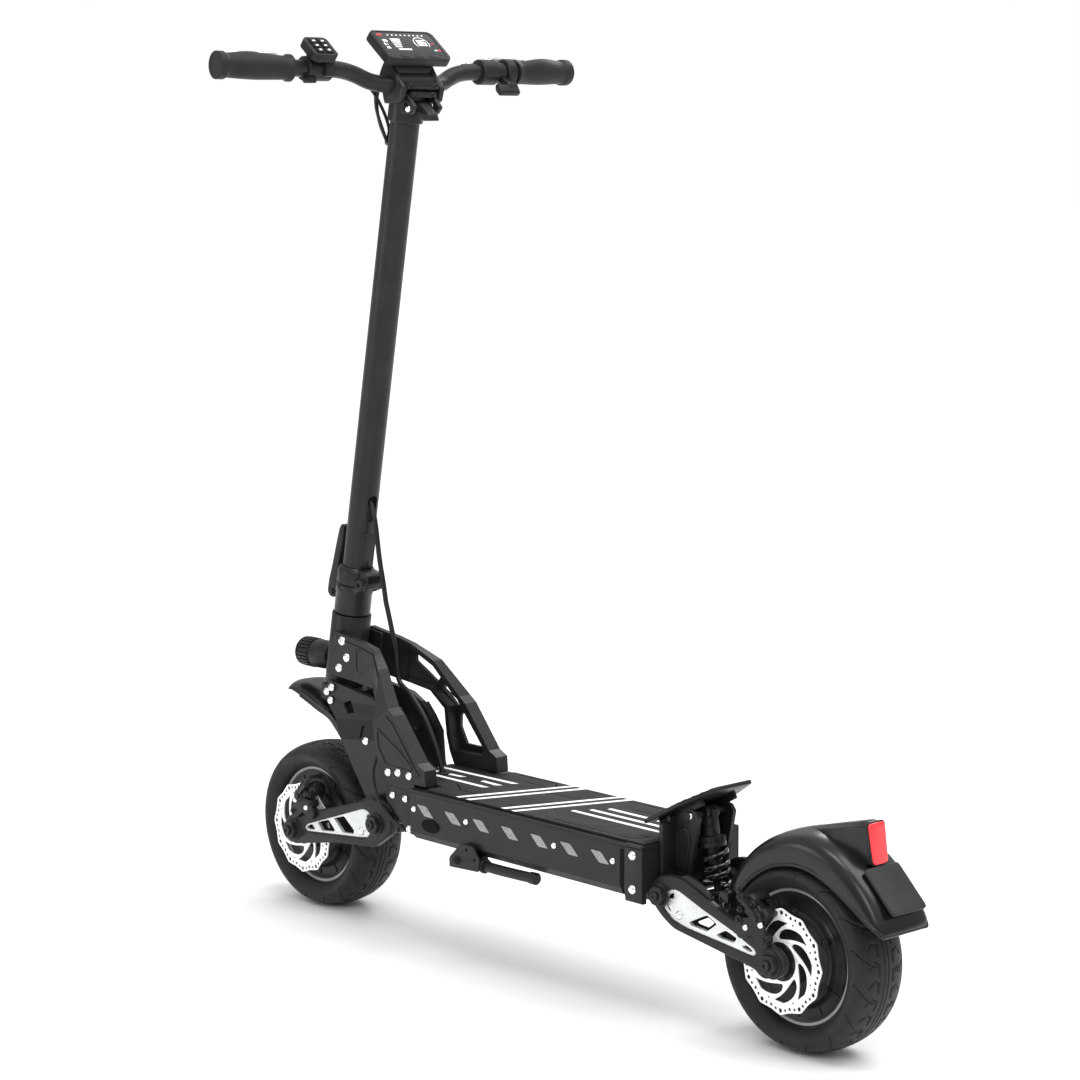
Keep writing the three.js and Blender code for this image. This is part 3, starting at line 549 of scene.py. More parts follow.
def hub(end, axle):
    left = [(9.6, 56.4), (25, 56.4), (29, 54.5), (31.5, 46), (34, 40), (40, 37.6), (56, 35), (60.5, 34.4),
        (63, 32.5), (65, 27), (68, 24), (76, 23.2), (81, 24.2), (84, 26), (88.6, 26)]
    right = [(r, -max(22, min(y, 46) - 4)) for r, y in reversed(left)]
    shell = ring([*left, *right, (9.6, -20), (9.6, 20)], 96)
    seat = about_y(axle, AXLE_Z)
    ribs = []
    for i in range(12):
        for low, high in ((22, 25), (-24, -20)):
            ribs.append(moved(block((66, -1, low), (80, 1, high), 0.6), spin(30 * i, "Z")))
    for i in range(6):
        boss = turned([(0, 26), (6.4, 26), (6.4, 35.6), (5.8, 36.2), (0, 36.2)], 24)
        cap = moved(button_bolt(4.2), shift(z=36.2))
        ribs.append(moved(merged(boss, cap), shift(60), spin(60 * i + 30, "Z")))
    emit(f"{end}_hub_shell", moved(merged(shell, *ribs), seat), ALLOY, f"{end}_wheel",
        [f"{end}_hub_motor"], smooth=32)
    band = [(84.8, 23.5), (84.8, 26.8), (85.6, 27.9), (88.8, 27.9), (90.2, 26.6), (90.2, 23.5)]
    emit(f"{end}_rim_bands", both_sides(moved(ring(band, 128), seat)), RIM, f"{end}_wheel")


def disc(end, axle):
    outer, holes, lobes, openings = [], [], 12, 8
    for i in range(240):
        a = TURN * i / 240
        r = 70 - 3.4 * abs(math.sin(a * lobes / 2)) ** 1.2
        outer.append(at_angle(r, a))
    for i in range(lobes):
        base = TURN * i / lobes
        for turn, r, size in ((0, 64.4, 3.1), (0.13, 63.2, 2.2), (0.262, 61.6, 2.4), (0.393, 63.2, 2.2)):
            holes.append(oval(*at_angle(r, base + turn), size, size, count=14))
    for i in range(openings):
        base = TURN * i / openings + math.radians(37)
        ahead = [(29 + 24.5 * t, base + math.radians(4 + 61 * t ** 0.5)) for t in np.linspace(0, 1, 12)]
        behind = [(30 + 24 * t, base + math.radians(47 * t * t)) for t in np.linspace(1, 0, 10)]
        holes.append(rounded([at_angle(r, a) for r, a in ahead + behind], 1.6, 2))
        holes.append(oval(*at_angle(54.6, base + math.radians(74.4)), 1.6, 1.6, count=14))
    holes.append(oval(0, 0, 17, 17, count=40))
    rotor = moved(plate(outer, holes, 2, 0.25, 1), FACING_Y, shift(axle, DISC_Y + 1, AXLE_Z))
    emit(f"{end}_disc_rotor", rotor, DISC, f"{end}_wheel", [f"{end}_brake_disc"])
    bolts = [moved(button_bolt(3.6), shift(22, 0, 2.2), spin(60 * i, "Z")) for i in range(6)]
    carrier = ring([(14, 0), (25.6, 0), (25.6, 2), (24.8, 2.6), (14, 2.6)], 64)
    emit(f"{end}_disc_carrier", moved(merged(carrier, *bolts), about_y(axle, AXLE_Z, DISC_Y)), ALLOY,
        f"{end}_wheel")


def axle_set(end, axle):
    stator = turned([(0, -16), (58, -16), (58, 16), (8, 16), (8, ARM_OUT + 2), (0, ARM_OUT + 2)])
    spacer = turned([(8, 57.6), (13, 58), (13, ARM_IN - 0.2), (8, ARM_IN - 0.2)])
    right = turned([(0, -ARM_OUT - 2), (8, -ARM_OUT - 2), (8, -16), (0, -16)])
    nut = moved(hex_nut(14.5, 10, 7), shift(0, 0, ARM_OUT + 0.3))
    other = moved(hex_nut(14.5, 10, 7), spin(180, "X"), shift(0, 0, -ARM_OUT - 0.3))
    emit(f"{end}_axle_set", moved(merged(stator, spacer, right, nut, other), about_y(axle, AXLE_Z)),
        ALLOY, f"{end}_arm", [f"{end}_axle"])


# ---- swing arms, pivots and calipers ----
ARMS = {
    "rear": dict(
        frame=[(-281, 166), (-275, 178), (-279, 191), (-294, 204), (-312, 207.5), (-335, 207),
            (-380, 188), (-409, 175.5), (-439, 167), (-484, 151.5), (-509, 145.5), (-520, 132),
            (-516, 115), (-497, 105), (-456, 116), (-414, 122.5), (-320, 137.5), (-297, 151)],
        inset=[(-302, 161), (-300, 171), (-307, 185), (-318, 190), (-329, 190), (-375, 173),
            (-429, 155), (-467, 139), (-469, 134), (-463, 129.5), (-402, 136.5), (-341, 143),
            (-318, 149)],
        windows=[[(-347, 151), (-380, 167), (-398, 158.5), (-380, 145), (-351, 147.5)],
            [(-397, 144.5), (-414, 153.5), (-434, 147), (-428, 140), (-402, 141.5)],
            [(-443, 139), (-451, 141.5), (-462, 136.5), (-458, 134), (-445, 136.5)]],
        slot=[(-319, 185), (-309.5, 181), (-305.5, 174), (-306.5, 164), (-312, 159), (-315.4, 159.5),
            (-309.5, 166), (-308.6, 171.5), (-312, 176.2), (-320, 177)],
        shoulder=[(-318, 204), (-338, 212), (-352, 208.5), (-378, 196.5), (-386, 185), (-360, 192)],
        bolt=(-330, 157), pivot=REAR_PIVOT, brace=(-333, 155), axle=-AXLE_X),
    "front": dict(
        frame=[(512, 143), (500, 151), (474, 156), (329, 199), (308, 208), (276, 198), (265, 190),
            (262, 172), (266, 158), (303, 133), (394, 124), (478, 108), (497, 104), (513, 112),
            (520, 127)],
        inset=[(472, 134), (466, 140), (330, 187), (316, 185), (308, 176), (308, 160), (319, 145),
            (339, 142), (466, 129)],
        windows=[[(401, 160), (376, 167.5), (352, 150), (353, 144.5), (380, 142)],
            [(441, 147), (413, 155.5), (398, 142), (401, 139.5), (430, 136)],
            [(468, 135), (464, 138), (453, 142), (446, 134.5), (466, 132.5)]],
        slot=[(312, 182), (320, 181), (323, 176), (319, 168), (317, 163), (318, 156), (312, 156),
            (310, 166)],
        shoulder=[(345, 196), (308, 211.5), (272, 200), (262, 190), (276, 190), (308, 200)],
        bolt=(334, 152), pivot=FRONT_PIVOT, brace=(330, 150), axle=AXLE_X)}


def inner(outline, share):
    """The outline drawn in towards its middle."""
    middle = np.mean(outline, axis=0)
    return [tuple(middle + (np.array(point) - middle) * share) for point in outline]


def swing_arm(end):
    arm = ARMS[end]
    (bx, bz), (px, pz) = arm["brace"], arm["pivot"]
    holes = [rounded(arm["inset"], 5), oval(px, pz, 8.4, 8.4), oval(arm["axle"], AXLE_Z, 8.2, 8.2)]
    side = panel(arm["frame"], 8, ARM_IN, ARM_OUT, 2.0, holes)
    shoulder = panel(arm["shoulder"], 4, ARM_IN, ARM_OUT - 5, 1.6)
    pad = moved(turned([(8.6, 0), (20, 0), (20, 1.2), (19, 2), (9.4, 2), (8.6, 1.4)], 40),
        about_y(arm["axle"], AXLE_Z, ARM_OUT - 1.2))
    bore = rod((bx, 12.8, bz), (bx, 66, bz), 10)
    tie = rod((bx, -13, bz), (bx, 13, bz), 6)
    emit(f"{end}_arm_frame", merged(both_sides(merged(side, shoulder, pad, bore)), tie), ALLOY,
        f"{end}_arm", [f"{end}_swingarm"])
    windows = [rounded(w, 3) for w in arm["windows"]]
    silver = panel(arm["inset"], 4.6, ARM_IN + 3, ARM_OUT - 2.6, 0.5, [*windows, rounded(arm["slot"], 1.5)])
    emit(f"{end}_arm_inserts", both_sides(silver), ARM_INSERT, f"{end}_arm")
    # A near-black sheet behind the inserts, with smaller gaps, paints shade round the edges of the windows.
    gaps = [rounded(inner(w, 0.62), 2) for w in arm["windows"]]
    window_shade_sheet = panel(arm["inset"], 4.6, ARM_IN + 0.6, ARM_IN + 3, 0.3, gaps)
    emit(f"{end}_arm_window_shade", both_sides(window_shade_sheet), BLACK_AND_PAINTED_SHADE, f"{end}_arm")
    bolt_rows(f"{end}_arm_bolts", f"{end}_arm", ([arm["bolt"]], 6, ARM_OUT - 2.6))
    body = "steering" if end == "front" else "root"
    nut = moved(hex_nut(14, 9, 6), about_y(px, pz, ARM_OUT + 0.3))
    shaft = rod((px, -ARM_OUT, pz), (px, ARM_OUT, pz), 7.4)
    emit(f"{end}_pivot_set", merged(both_sides(nut), shaft), ALLOY, body, [f"{end}_pivot_bolt"])


def caliper(end, axle, way):
    """The brake caliper, its bracket on the arm, its bolts and its cable arm."""
    def x(t):
        """How far forward a point is that lies t from the axle, towards the arm's pivot."""
        return axle + way * t

    lean = shift(x(33), 0, 190) @ spin(-38 * way, "Y")

    def tilted(low, high, bevel=2.0):
        return moved(block(low, high, bevel), lean)

    shapes = [tilted((-24, 60.6, -13), (20, 78, 12), 4), tilted((-24, 47.6, -13), (20, 55.2, 12), 2.5),
        tilted((-23, 47.6, 8), (-9, 78, 17), 3), tilted((4, 47.6, 9), (17, 78, 16), 3),
        tilted((-8, 75, -8), (10, 82, 9), 3.5), panel([(x(2), 148), (x(10), 176), (x(30), 184),
        (x(52), 178), (x(60), 160), (x(52), 150), (x(30), 160), (x(14), 146)], 5, ARM_OUT + 0.5, 82, 1.2)]
    shapes.append(sweep([(x(22), 80, 186), (x(36), 82, 198), (x(50), 84, 210)], oblong(3, 5),
        up=(0, 1, 0)))
    for dx, dz, r, y in ((22, 184, 9.5, 84), (52, 176, 6, 84), (8, 158, 6, 83), (46, 206, 5, 87),
            (30, 200, 5.5, 82), (50, 190, 4.5, 84)):
        shapes.append(rod((x(dx), 70, dz), (x(dx), y, dz), r, 1.0))
        shapes.append(moved(turned([(0, 0), (r * 0.55, 0), (r * 0.5, 3), (0, 3)], 18, hexagon=(0, 1, 2)),
            about_y(x(dx), dz, y - 0.5)))
    for k in range(4):
        shapes.append(moved(block((-20 + k * 9, 56, 12), (-16 + k * 9, 60, 17), 0.6), lean))
    shapes.append(tube([(x(46), 84, 206), (x(60), 78, 214), (x(68), 66, 208), (x(62), 56, 190)], 2.4, 12))
    emit(f"{end}_caliper_set", merged(*shapes), ALLOY, f"{end}_arm", [f"{end}_caliper"])
    emit(f"{end}_caliper_bolts", bolts_across([(x(14), 176), (x(40), 168)], 4.4, 82), CHROME,
        f"{end}_arm")


# ---- shocks ----
def shock(end, top, low, r_body, r_seat, r_coil, wire):
    """The shock from its top pivot to its lower pivot, as an upper and a lower piece."""
    a, b = Vector((top[0], 0, top[1])), Vector((low[0], 0, low[1]))
    length = (b - a).length
    line = towards(a, b)
    seat_at, body_end, low_seat = length * 0.31, length * 0.54, length - 23
    can = turned([(0, 5), (r_body - 2, 5), (r_body, 7), (r_body, 16), (r_body - 1.2, 17),
        (r_body - 1.2, 19), (r_body, 20), (r_body, seat_at - 8), (r_seat - 3, seat_at - 8),
        (r_seat - 2, seat_at - 7), (r_seat - 2, seat_at - 1), (r_seat, seat_at), (r_seat, seat_at + 6),
        (r_seat - 1, seat_at + 7), (r_body - 1, seat_at + 7), (r_body - 1, body_end), (5.6, body_end),
        (5.6, seat_at), (0, seat_at)], 48)
    notches = [moved(block((r_seat - 2.6, -2.2, seat_at - 7), (r_seat + 0.4, 2.2, seat_at - 1), 0.5),
        spin(36 * i, "Z")) for i in range(10)]
    eye = rod((a.x, -12, a.z), (a.x, 12, a.z), 10)
    prongs = both_sides(block((-6, 6.4, -4), (6, 12.4, seat_at - 12), 2))
    emit(f"{end}_shock_can", merged(moved(merged(can, *notches, prongs), line), eye), ALLOY,
        f"{end}_shock_upper", [f"{end}_shock_body"])
    shaft = turned([(0, seat_at + 18), (5, seat_at + 18), (5, low_seat), (r_seat - 1, low_seat),
        (r_seat, low_seat + 1), (r_seat, low_seat + 4), (r_seat - 1, low_seat + 5), (9, low_seat + 5),
        (9, length - 4), (0, length - 4)], 48)
    low_eye = ring([(6.6, -11.5), (11, -11.5), (11, 11.5), (6.6, 11.5)], 40)
    emit(f"{end}_shock_shaft", merged(moved(shaft, line), moved(low_eye, about_y(b.x, b.z))), ALLOY,
        f"{end}_shock_lower", [f"{end}_shock_rod"])
    start, stop = seat_at + 7 + wire, low_seat - wire
    turns, per_turn = (3.3, 32) if end == "rear" else (5.6, 28)
    steps = int(turns * per_turn)
    helix = []
    for i in range(steps + 1):
        t = i / steps
        angle = TURN * turns * t
        lift = start + (stop - start) * (t + 0.35 * math.sin(TURN * t) / TURN)
        helix.append(line @ Vector((*at_angle(r_coil, angle), lift)))
    coil = emit(f"{end}_shock_coil", sweep(helix, circle(wire, 14)), SPRING, None,
        ["rear_shock_spring"] if end == "rear" else [])
    return coil, line @ Vector((0, 0, start)), line @ Vector((0, 0, stop))


# ---- fenders and tail light ----
def polar(axle, angle, radius):
    """(x, z) at an angle in degrees from straight up, towards the back."""
    a = math.radians(angle)
    return axle - radius * math.sin(a), AXLE_Z + radius * math.cos(a)


def sheet_of(rows, thickness):
    """A smooth shell of a thickness about rows of points."""
    bm = bmesh.new()
    grid = [[bm.verts.new(p) for p in row] for row in rows]
    for low, high in zip(grid, grid[1:]):
        for i in range(len(low) - 1):
            bm.faces.new((low[i], low[i + 1], high[i + 1], high[i]))
    bmesh.ops.recalc_face_normals(bm, faces=bm.faces)
    holder = held(bm, "sheet")
    shell = holder.modifiers.new("wall", "SOLIDIFY")
    shell.thickness, shell.offset, shell.use_even_offset = thickness, 0, False
    shell.use_quality_normals = True
    holder.modifiers.new("smooth", "SUBSURF").levels = 1
    return result_of(holder)


REAR_CROWN = [(-68, 128.5), (-58, 131), (-48, 134.5), (-38, 141), (-28, 148), (-16, 156.5), (-4, 163),
    (8, 168.5), (20, 171), (34, 171.5), (48, 171), (58, 171), (64, 170.5), (67, 169.8), (69, 169)]
REAR_HEM = [(-68, 118), (-58, 112.5), (-48, 110.5), (-38, 112.5), (-28, 115.2), (-16, 119.5), (-4, 123.5),
    (8, 127.8), (20, 131), (34, 133.8), (48, 140.5), (58, 150), (64, 160), (67, 163.6), (69, 166)]


def rear_fender():
    rows, edge = [], []
    for (angle, crown), (_, hem) in zip(REAR_CROWN, REAR_HEM):
        drop = crown - hem
        corner = min(15, drop * 0.8)
        wide = 48.8 - 0.42 * max(0, angle - 63) ** 1.6
        side = [(wide, hem), (wide + 0.8, hem + drop * 0.35), (wide + 0.6, crown - corner),
            (wide - 2.3, crown - corner * 0.42), (wide - 9.8, crown - corner * 0.08), (26, crown + 1.2),
            (12, crown + 2.2)]
        half = side + [(0, crown + 2.5)]
        section = half + [(-y, r) for y, r in side[::-1]]
        spots = [(y, *polar(-AXLE_X, angle, r)) for y, r in section]
        rows.append([(x, y, z) for y, x, z in spots])
        edge.append(Vector(rows[-1][0]))
    shell = sheet_of(rows, 2.4)
    tabs = both_sides(block((-408, 44, 186), (-392, 63.7, 200), 1.5))
    path = [*edge[2:], edge[-1] + Vector((0, -6, 0))]
    around = smooth_path([*path, *[Vector((q.x, -q.y, q.z)) for q in path[::-1]]], 4)
    rolled = sweep(around, circle(2.8, 14))
    emit("rear_fender_shell", merged(shell, tabs, rolled), FENDER, "rear_arm", ["rear_fender"], smooth=50)
    hump = [[(-486, 3, 291), (-486, 7, 289), (-486, 10, 283)], [(-512, 5, 298.5), (-512, 13, 295),
        (-512, 18, 284)], [(-548, 8, 308), (-548, 17, 302.5), (-548, 21, 279)], [(-575, 9, 315),
        (-575, 18, 308.5), (-577, 20, 273)], [(-592, 9, 318.8), (-593, 18.4, 312.5), (-599, 16, 265)],
        [(-599.5, 8, 319), (-601, 18, 312.5), (-607.5, 14.6, 265)]]
    rows = [[*row, *[(x, -y, z) for x, y, z in row[::-1]]] for row in hump]
    emit("light_hump", skinned(rows), FENDER, "rear_arm", smooth=40, soften=2.6)
    upright = spin(-90, "Z") @ spin(90, "X")
    lens = rounded([(-15.6, 26), (-13.4, -26), (13.4, -26), (15.6, 26)], 6)
    face = shift(-606.4, 0, 291.6) @ spin(math.degrees(math.atan2(8, 48)), "Y") @ upright
    emit("tail_lens", moved(plate(lens, [], 5, 1.4), face), RED, "rear_arm", ["tail_light"])
    bezel = rounded([(-17.8, 28), (-15.4, -28), (15.4, -28), (17.8, 28)], 7.5)
    emit("tail_bezel", moved(plate(bezel, [], 4, 1.0), shift(0, 0, -1.6), face), FENDER, "rear_arm")
    card = rounded([(-32, 35), (32, 35), (32, -35), (-32, -35)], 6)
    lay = shift(-635.5, 0, 238) @ spin(45, "Y") @ upright
    emit("rear_plate", moved(plate(card, [], 5, 1.4), lay), PLATE, "rear_arm")
    emit("plate_stay", moved(block((-24, -31, -12), (24, 28, -1), 2), lay), FENDER, "rear_arm")



def front_fender():
    line = smooth_path([(553, 0, 341), (540, 0, 344), (512, 0, 336), (482, 0, 325), (454, 0, 316),
        (436, 0, 303), (411, 0, 279), (382, 0, 251), (364, 0, 234)], 5)
    rows = []
    for i, p in enumerate(line):
        t = i / (len(line) - 1)
        half = min(44, 38 + 90 * t) if t < 0.3 else 44 - 6 * (t - 0.3)
        reach = 16 * max(0, 1 - 4 * t)
        rows.append([(p.x + reach * (1 - abs(k) / 6), half * k / 6,
            p.z - 9 * (abs(k) / 6) ** 4 - 1.5) for k in range(-6, 7)])
    emit("front_fender_blade", sheet_of(rows, 3.4), FENDER, "steering", ["front_fender"], smooth=50)
    rib = sweep([(p.x - 4, 41, p.z - 10) for p in line[8:]], oblong(1.6, 5), up=(0, 0, 1))
    emit("front_fender_ribs", both_sides(rib), FENDER, "steering")


# ---- deck ----
def deck_mat():
    half, front, rear, shoulder = 84, 276, -274, 170
    outline = [(rear, -half), (-206, -half), (-198, -half), (shoulder, -half), (shoulder, -55),
        (front, -55), (front, 55), (shoulder, 55), (shoulder, half), (rear, half)]
    grooves = [[(150, 78), (60, 78)], [(166, 30), (132, 52), (60, 52)],
        [(166, -30), (120, -52), (66, -52)], [(40, -30), (-18, -30), (-26, -64)],
        [(20, 60), (-30, 60), (-36, 34)], [(-70, 74), (-236, 74), (-250, 66), (-250, 46)],
        [(-72, -74), (-226, -74), (-240, -64)], [(-120, -44), (-190, -44), (-206, -58)],
        [(-232, 52), (-248, 52)], [(150, -76), (70, -76), (58, -66)], [(262, 34), (214, 34), (204, 46)]]
    holes = [oval(NOSE_HOLE_X, 0, NOSE_HOLE_R, NOSE_HOLE_R)]
    for line in grooves:
        left, right = [], []
        for i, p in enumerate(line):
            a, b = Vector(line[max(i - 1, 0)]), Vector(line[min(i + 1, len(line) - 1)])
            way = (b - a).normalized()
            side = Vector((-way.y, way.x)) * 0.9
            left.append(tuple(Vector(p) + side))
            right.append(tuple(Vector(p) - side))
        holes.append(left + right[::-1])
    height = MAT_TOP - DECK_TOP - 0.4
    mat = moved(plate(rounded(outline, 3), holes, height, 0.4), shift(z=MAT_TOP - height / 2))
    emit("grip_mat", mat, GRIT, "root", ["deck_mat"])
    bars = [((272, -27.5), (110, -32)), ((268, -3.3), (240, -4)), ((224, -5), (196, -6.8)),
        ((156, -9.5), (118, -8)), ((251, 14.3), (122, 14.3)), ((-70, 22), (-264, 22)),
        ((-84, 0), (-264, 0)), ((-98, -22), (-264, -22))]
    stripes = [slanted(a, b, 3.7) for a, b in bars]
    for x0 in (102, 80, 6, -16):
        stripes.append([(x0 + 4.2, 84), (x0 - 4.2, 84), (x0 - 67.2, -84), (x0 - 58.8, -84)])
    bms = [slab(stripe, MAT_TOP + 0.1, 0.5, 0.12) for stripe in stripes]
    emit("mat_stripes", merged(*bms), STRIPE, "root")
    shelf = plate([(197, -56), (276, -56), (276, 56), (197, 56)], holes[:1], 4.8, 0.8)
    emit("nose_shelf", moved(shelf, shift(0, 0, 238.6)), PAINT, "root")
    seal = ring([(4.4, 243), (9.4, 243), (9.4, 246), (8.4, 247.4), (5, 247.4), (4.4, 246.6)], 40)
    emit("cable_seal", moved(seal, shift(NOSE_HOLE_X)), RUBBER, "root")


def slanted(a, b, half):
    """A stripe with slanted ends between two plan points."""
    return [(a[0], a[1] + half), (a[0], a[1] - half), (b[0] - half, b[1] - half),
        (b[0] + half, b[1] + half)]


def rail_details():
    inserts, bolts = [], [(191, 213), (76.5, 214), (-106.5, 213), (-222, 213)]
    for i in range(7):
        x = 166 - i * 60.5
        gem = [(x + 18.4, 221.4), (x - 1.7, 221.4), (x - 18.4, 206.1), (x + 1.7, 206.1)]
        inserts.append(panel(gem, 2.2, RAIL_OUT - 1.5, RAIL_OUT + 0.3, 0.3))
    emit("rail_inserts", both_sides(merged(*inserts)), INSERT, "root")
    bolt_rows("rail_bolts", "root", (bolts, 4.6, RAIL_OUT))
    bolt_rows("frame_bolts", "root", ([(-262, 228), (-262, 182)], 6.6, RAIL_OUT + 2),
        ([(222, 221), (251, 222), (214, 178)], 5.6, 81))
    corner = panel([(-279, 165), (-249, 165), (-246, 172), (-246, 240), (-279, 240)], 2, RAIL_OUT - 3,
        RAIL_OUT + 2, 1.0)
    lip = block((-279, 86, 236), (-246, 93, 242.6), 1.2)
    # A near-black strip paints the shade in the gap between the corner plate and the rail.
    shade_gap = panel([(-245.6, 236), (-236, 236), (-235, 184), (-243, 171)], 2, RAIL_OUT - 2,
        RAIL_OUT + 0.3, 0.2)
    emit("rail_end_gap_shade", both_sides(shade_gap), BLACK_AND_PAINTED_SHADE, "root")
    emit("rear_corner_plates", both_sides(merged(corner, lip)), PAINT, "root")
    port = side_plate(oval(154, 194, 19, 9.6), [], RAIL_OUT - 1, RAIL_OUT + 2.2, 1.1)
    emit("charge_port_cover", port, BLACK_AND_PAINTED_SHADE, "root")
    edge = [(199, 236), (150, 238.4), (-180, 238.4), (-244, 235.4), (-244, 233), (199, 233)]
    crest = panel(edge, 2, 86, RAIL_OUT + 0.6, 0.5)
    emit("rail_crests", both_sides(crest), PAINT, "root")


def nose_brackets():
    cheek = panel([(202, 236), (262, 236), (268, 214), (236, 186), (212, 170), (200, 170)], 4, 72, 80.5,
        1.5)
    cross = block((203, -72, 196), (222, 72, 232), 2)
    emit("nose_brackets", merged(both_sides(cheek), cross), PAINT, "root")


# ---- neck ----
NECK_EDGE = [(430, 434, 37.4), (372, 425, 37.4), (340, 418, 39), (304, 394, 59.4), (264, 342, 77.6),
    (249, 332, 77.8), (197, 271, 77.8), (190, 266, 77.8)]


def neck_details():
    flange = [(x + 2, y + 2.2, z - 7) for x, z, y in NECK_EDGE]
    band = sweep(flange, oblong(1.3, 1.6), up=(0, 1, 0))
    emit("neck_borders", both_sides(band), PAINT, "root", soften=0.7)
    bolt_rows("neck_bolts", "root", ([(417, 424), (406, 400), (425, 382)], 7.2, 39.2),
        ([(262, 254), (239, 257), (214, 256)], 6.4, 80))
    high = panel([(388, 418), (352, 413), (354, 376), (386, 379)], 5, 38.6, 40.4, 0.4,
        [rounded([(384, 414.5), (355, 410), (357, 379.5), (383, 382.5)], 4)])
    low = panel([(290, 318), (236, 290), (206, 270), (212, 262), (268, 262), (288, 288)], 6, 79.4, 81.2,
        0.4, [rounded([(286, 313), (238, 287), (211, 269), (214, 265), (266, 265), (284, 289)], 5)])
    emit("neck_embossing", merged(high, low), PAINT, "root")


def head_and_hinge():
    head = ring([(22, 228), (28.6, 228), (30, 229.6), (30, 337.4), (29, 339), (22, 339)], 96)
    emit("head_tube_shell", moved(head, STEER), PAINT, "root", ["head_tube"])
    gusset = panel([(436, 434), (404, 430), (410, 372), (446, 376)], 3, 26, 31.6, 1)
    emit("head_gussets", both_sides(gusset), PAINT, "root")
    collar = turned([(0, 340.6), (26.2, 340.6), (27.6, 341.8), (27.6, 372), (28.4, 374), (28.4, 383.8),
        (27.4, 385.4), (0, 385.4)], 96)
    ears = both_sides(panel([(-24, 377), (-16, 385.4), (-25, 388), (-26, 397), (-30, 402), (-37, 402.6),
        (-42.4, 397), (-42, 388)], 3, 14.6, 21.4, 1.2))
    web = panel([(-24, 368), (-34, 387), (-24, 387)], 2, -9, 9, 0.6)
    pin = rod((HINGE_X, -22.6, HINGE_Z), (HINGE_X, 22.6, HINGE_Z), 8.6, 1.2)
    # Near-black hexagons on the pin ends paint the shade inside the hex sockets.
    socket = both_sides(moved(turned([(4, -1), (4.2, 0.4), (0, 0.4)], 24, hexagon=(0, 1)),
        about_y(HINGE_X, HINGE_Z, 22.5)))
    nib = merged(block((24, -6, 354), (40, 6, 370), 1.5), rod((LATCH_X, -13, LATCH_Z),
        (LATCH_X, 13, LATCH_Z), 4))
    emit("hinge_block", moved(merged(collar, ears, web, pin, nib), STEER), ALLOY, "steering",
        ["hinge_base"])
    emit("hinge_socket_shade", moved(socket, STEER), BLACK_AND_PAINTED_SHADE, "steering")
    lever = [(30.5, 360), (35, 353), (44, 352), (51.5, 358), (51.5, 376), (47.5, 400), (42.5, 440),
        (39, 464), (34, 471), (28, 467), (28.5, 440), (32.6, 404), (31.6, 378)]
    blade = panel(lever, 5, -10.6, 10.6, 2.2, [oval(LATCH_X, LATCH_Z, 3.2, 3.2)])
    emit("latch_lever", moved(blade, STEER), ALLOY, "fold_lever", ["fold_lever"])


def stem():
    wall = turned([(0, 408), (21.5, 408), (21.5, 1117), (0, 1117)], 96)
    sleeve = turned([(0, 386.8), (27.4, 386.8), (28.4, 388), (28.4, 404), (27.4, 409), (25.2, 412.6),
        (23.8, 414), (0, 414)], 96)
    wall = cut_away(wall, block((-30, -8.4, 488), (-10, 8.4, 528), 7.4, 5))
    knuckle = panel([(-14, 387), (-14, 414), (-36, 414), (-43, 409), (-43, 396), (-42, 388),
        (-36, 386.9)], 2.5, -14.2, 14.2, 1.6)
    flat = block((-22.6, -13, 414), (-18, 13, 470), 2, 3)
    emit("stem_sleeve", moved(merged(sleeve, knuckle), STEER), ALLOY, "stem")
    emit("stem_shaft", moved(merged(wall, flat), STEER), PAINT, "stem", ["stem_tube"])
    # A near-black block on the knuckle paints the shade of its window opening.
    window = moved(block((-43.5, -10.8, 397.4), (-40, 10.8, 408.4), 0.3), STEER)
    emit("hinge_window_shade", window, BLACK_AND_PAINTED_SHADE, "stem")
    screw = moved(button_bolt(3.4), spin(-90, "Y"), shift(-22.4, 0, 424))
    emit("stem_screw", moved(screw, STEER), ALLOY, "stem")


def cut_away(bm, tool):
    """bm with tool's volume taken out."""
    for source in (bm, tool):
        bmesh.ops.recalc_face_normals(source, faces=source.faces)
    whole, taken = held(bm, "whole"), held(tool, "taken")
    cut = whole.modifiers.new("cut", "BOOLEAN")
    cut.operation, cut.object, cut.solver = "DIFFERENCE", taken, "EXACT"
    return result_of(whole, taken)


def headlight():
    at = towards((489, 0, 387), (559, 0, 387))
    body = turned([(0, 0), (14, 0), (17, 2), (21.4, 14), (22, 18), (22, 36), (20.6, 37), (20.6, 64),
        (22.4, 65), (22.4, 67.5), (21, 69), (18.5, 69), (18, 66.5), (0, 66.5)], 96)
    ribs = [moved(block((19, -1.7, 38.5), (23, 1.7, 63), 0.6), spin(15 * i, "Z")) for i in range(24)]
    emit("headlight_body", moved(merged(body, *ribs), at), PLASTIC, "root", ["headlight"])
    dome = turned([(0, 69.2), (9, 68.8), (17.4, 67.2), (17.4, 65.5), (0, 65.5)], 64)
    emit("headlight_lens", moved(dome, at), LENS, "root")
    emit("headlight_mount", block((466, -12, 378), (494, 12, 396), 2), PAINT, "root")


def fork_details():
    bolt_rows("fork_bolts", "steering", ([(438, 351), (450, 343), (441, 330.5)], 6.2, 44),
        ([(340, 285)], 6.4, 58))
    # Near-black panels behind the fork plate's openings paint the shade in the recesses.
    window = panel([(415, 334), (397, 341), (380, 319), (401, 312)], 3, 35, 36.4, 0.4)
    for vert in window.verts:
        vert.co.y += (334 - vert.co.z) * 0.16
    emit("fork_window_shade", both_sides(window), BLACK_AND_PAINTED_SHADE, "steering")
    rim = [(322, 44, 333), (309, 48, 314), (303, 57, 290), (299, 57, 245), (287, 57, 207), (280, 57, 176)]
    band = sweep(rim, oblong(2.4, 4), up=(0, 1, 0))
    emit("fork_flanges", both_sides(band), PAINT, "steering", soften=1.0)


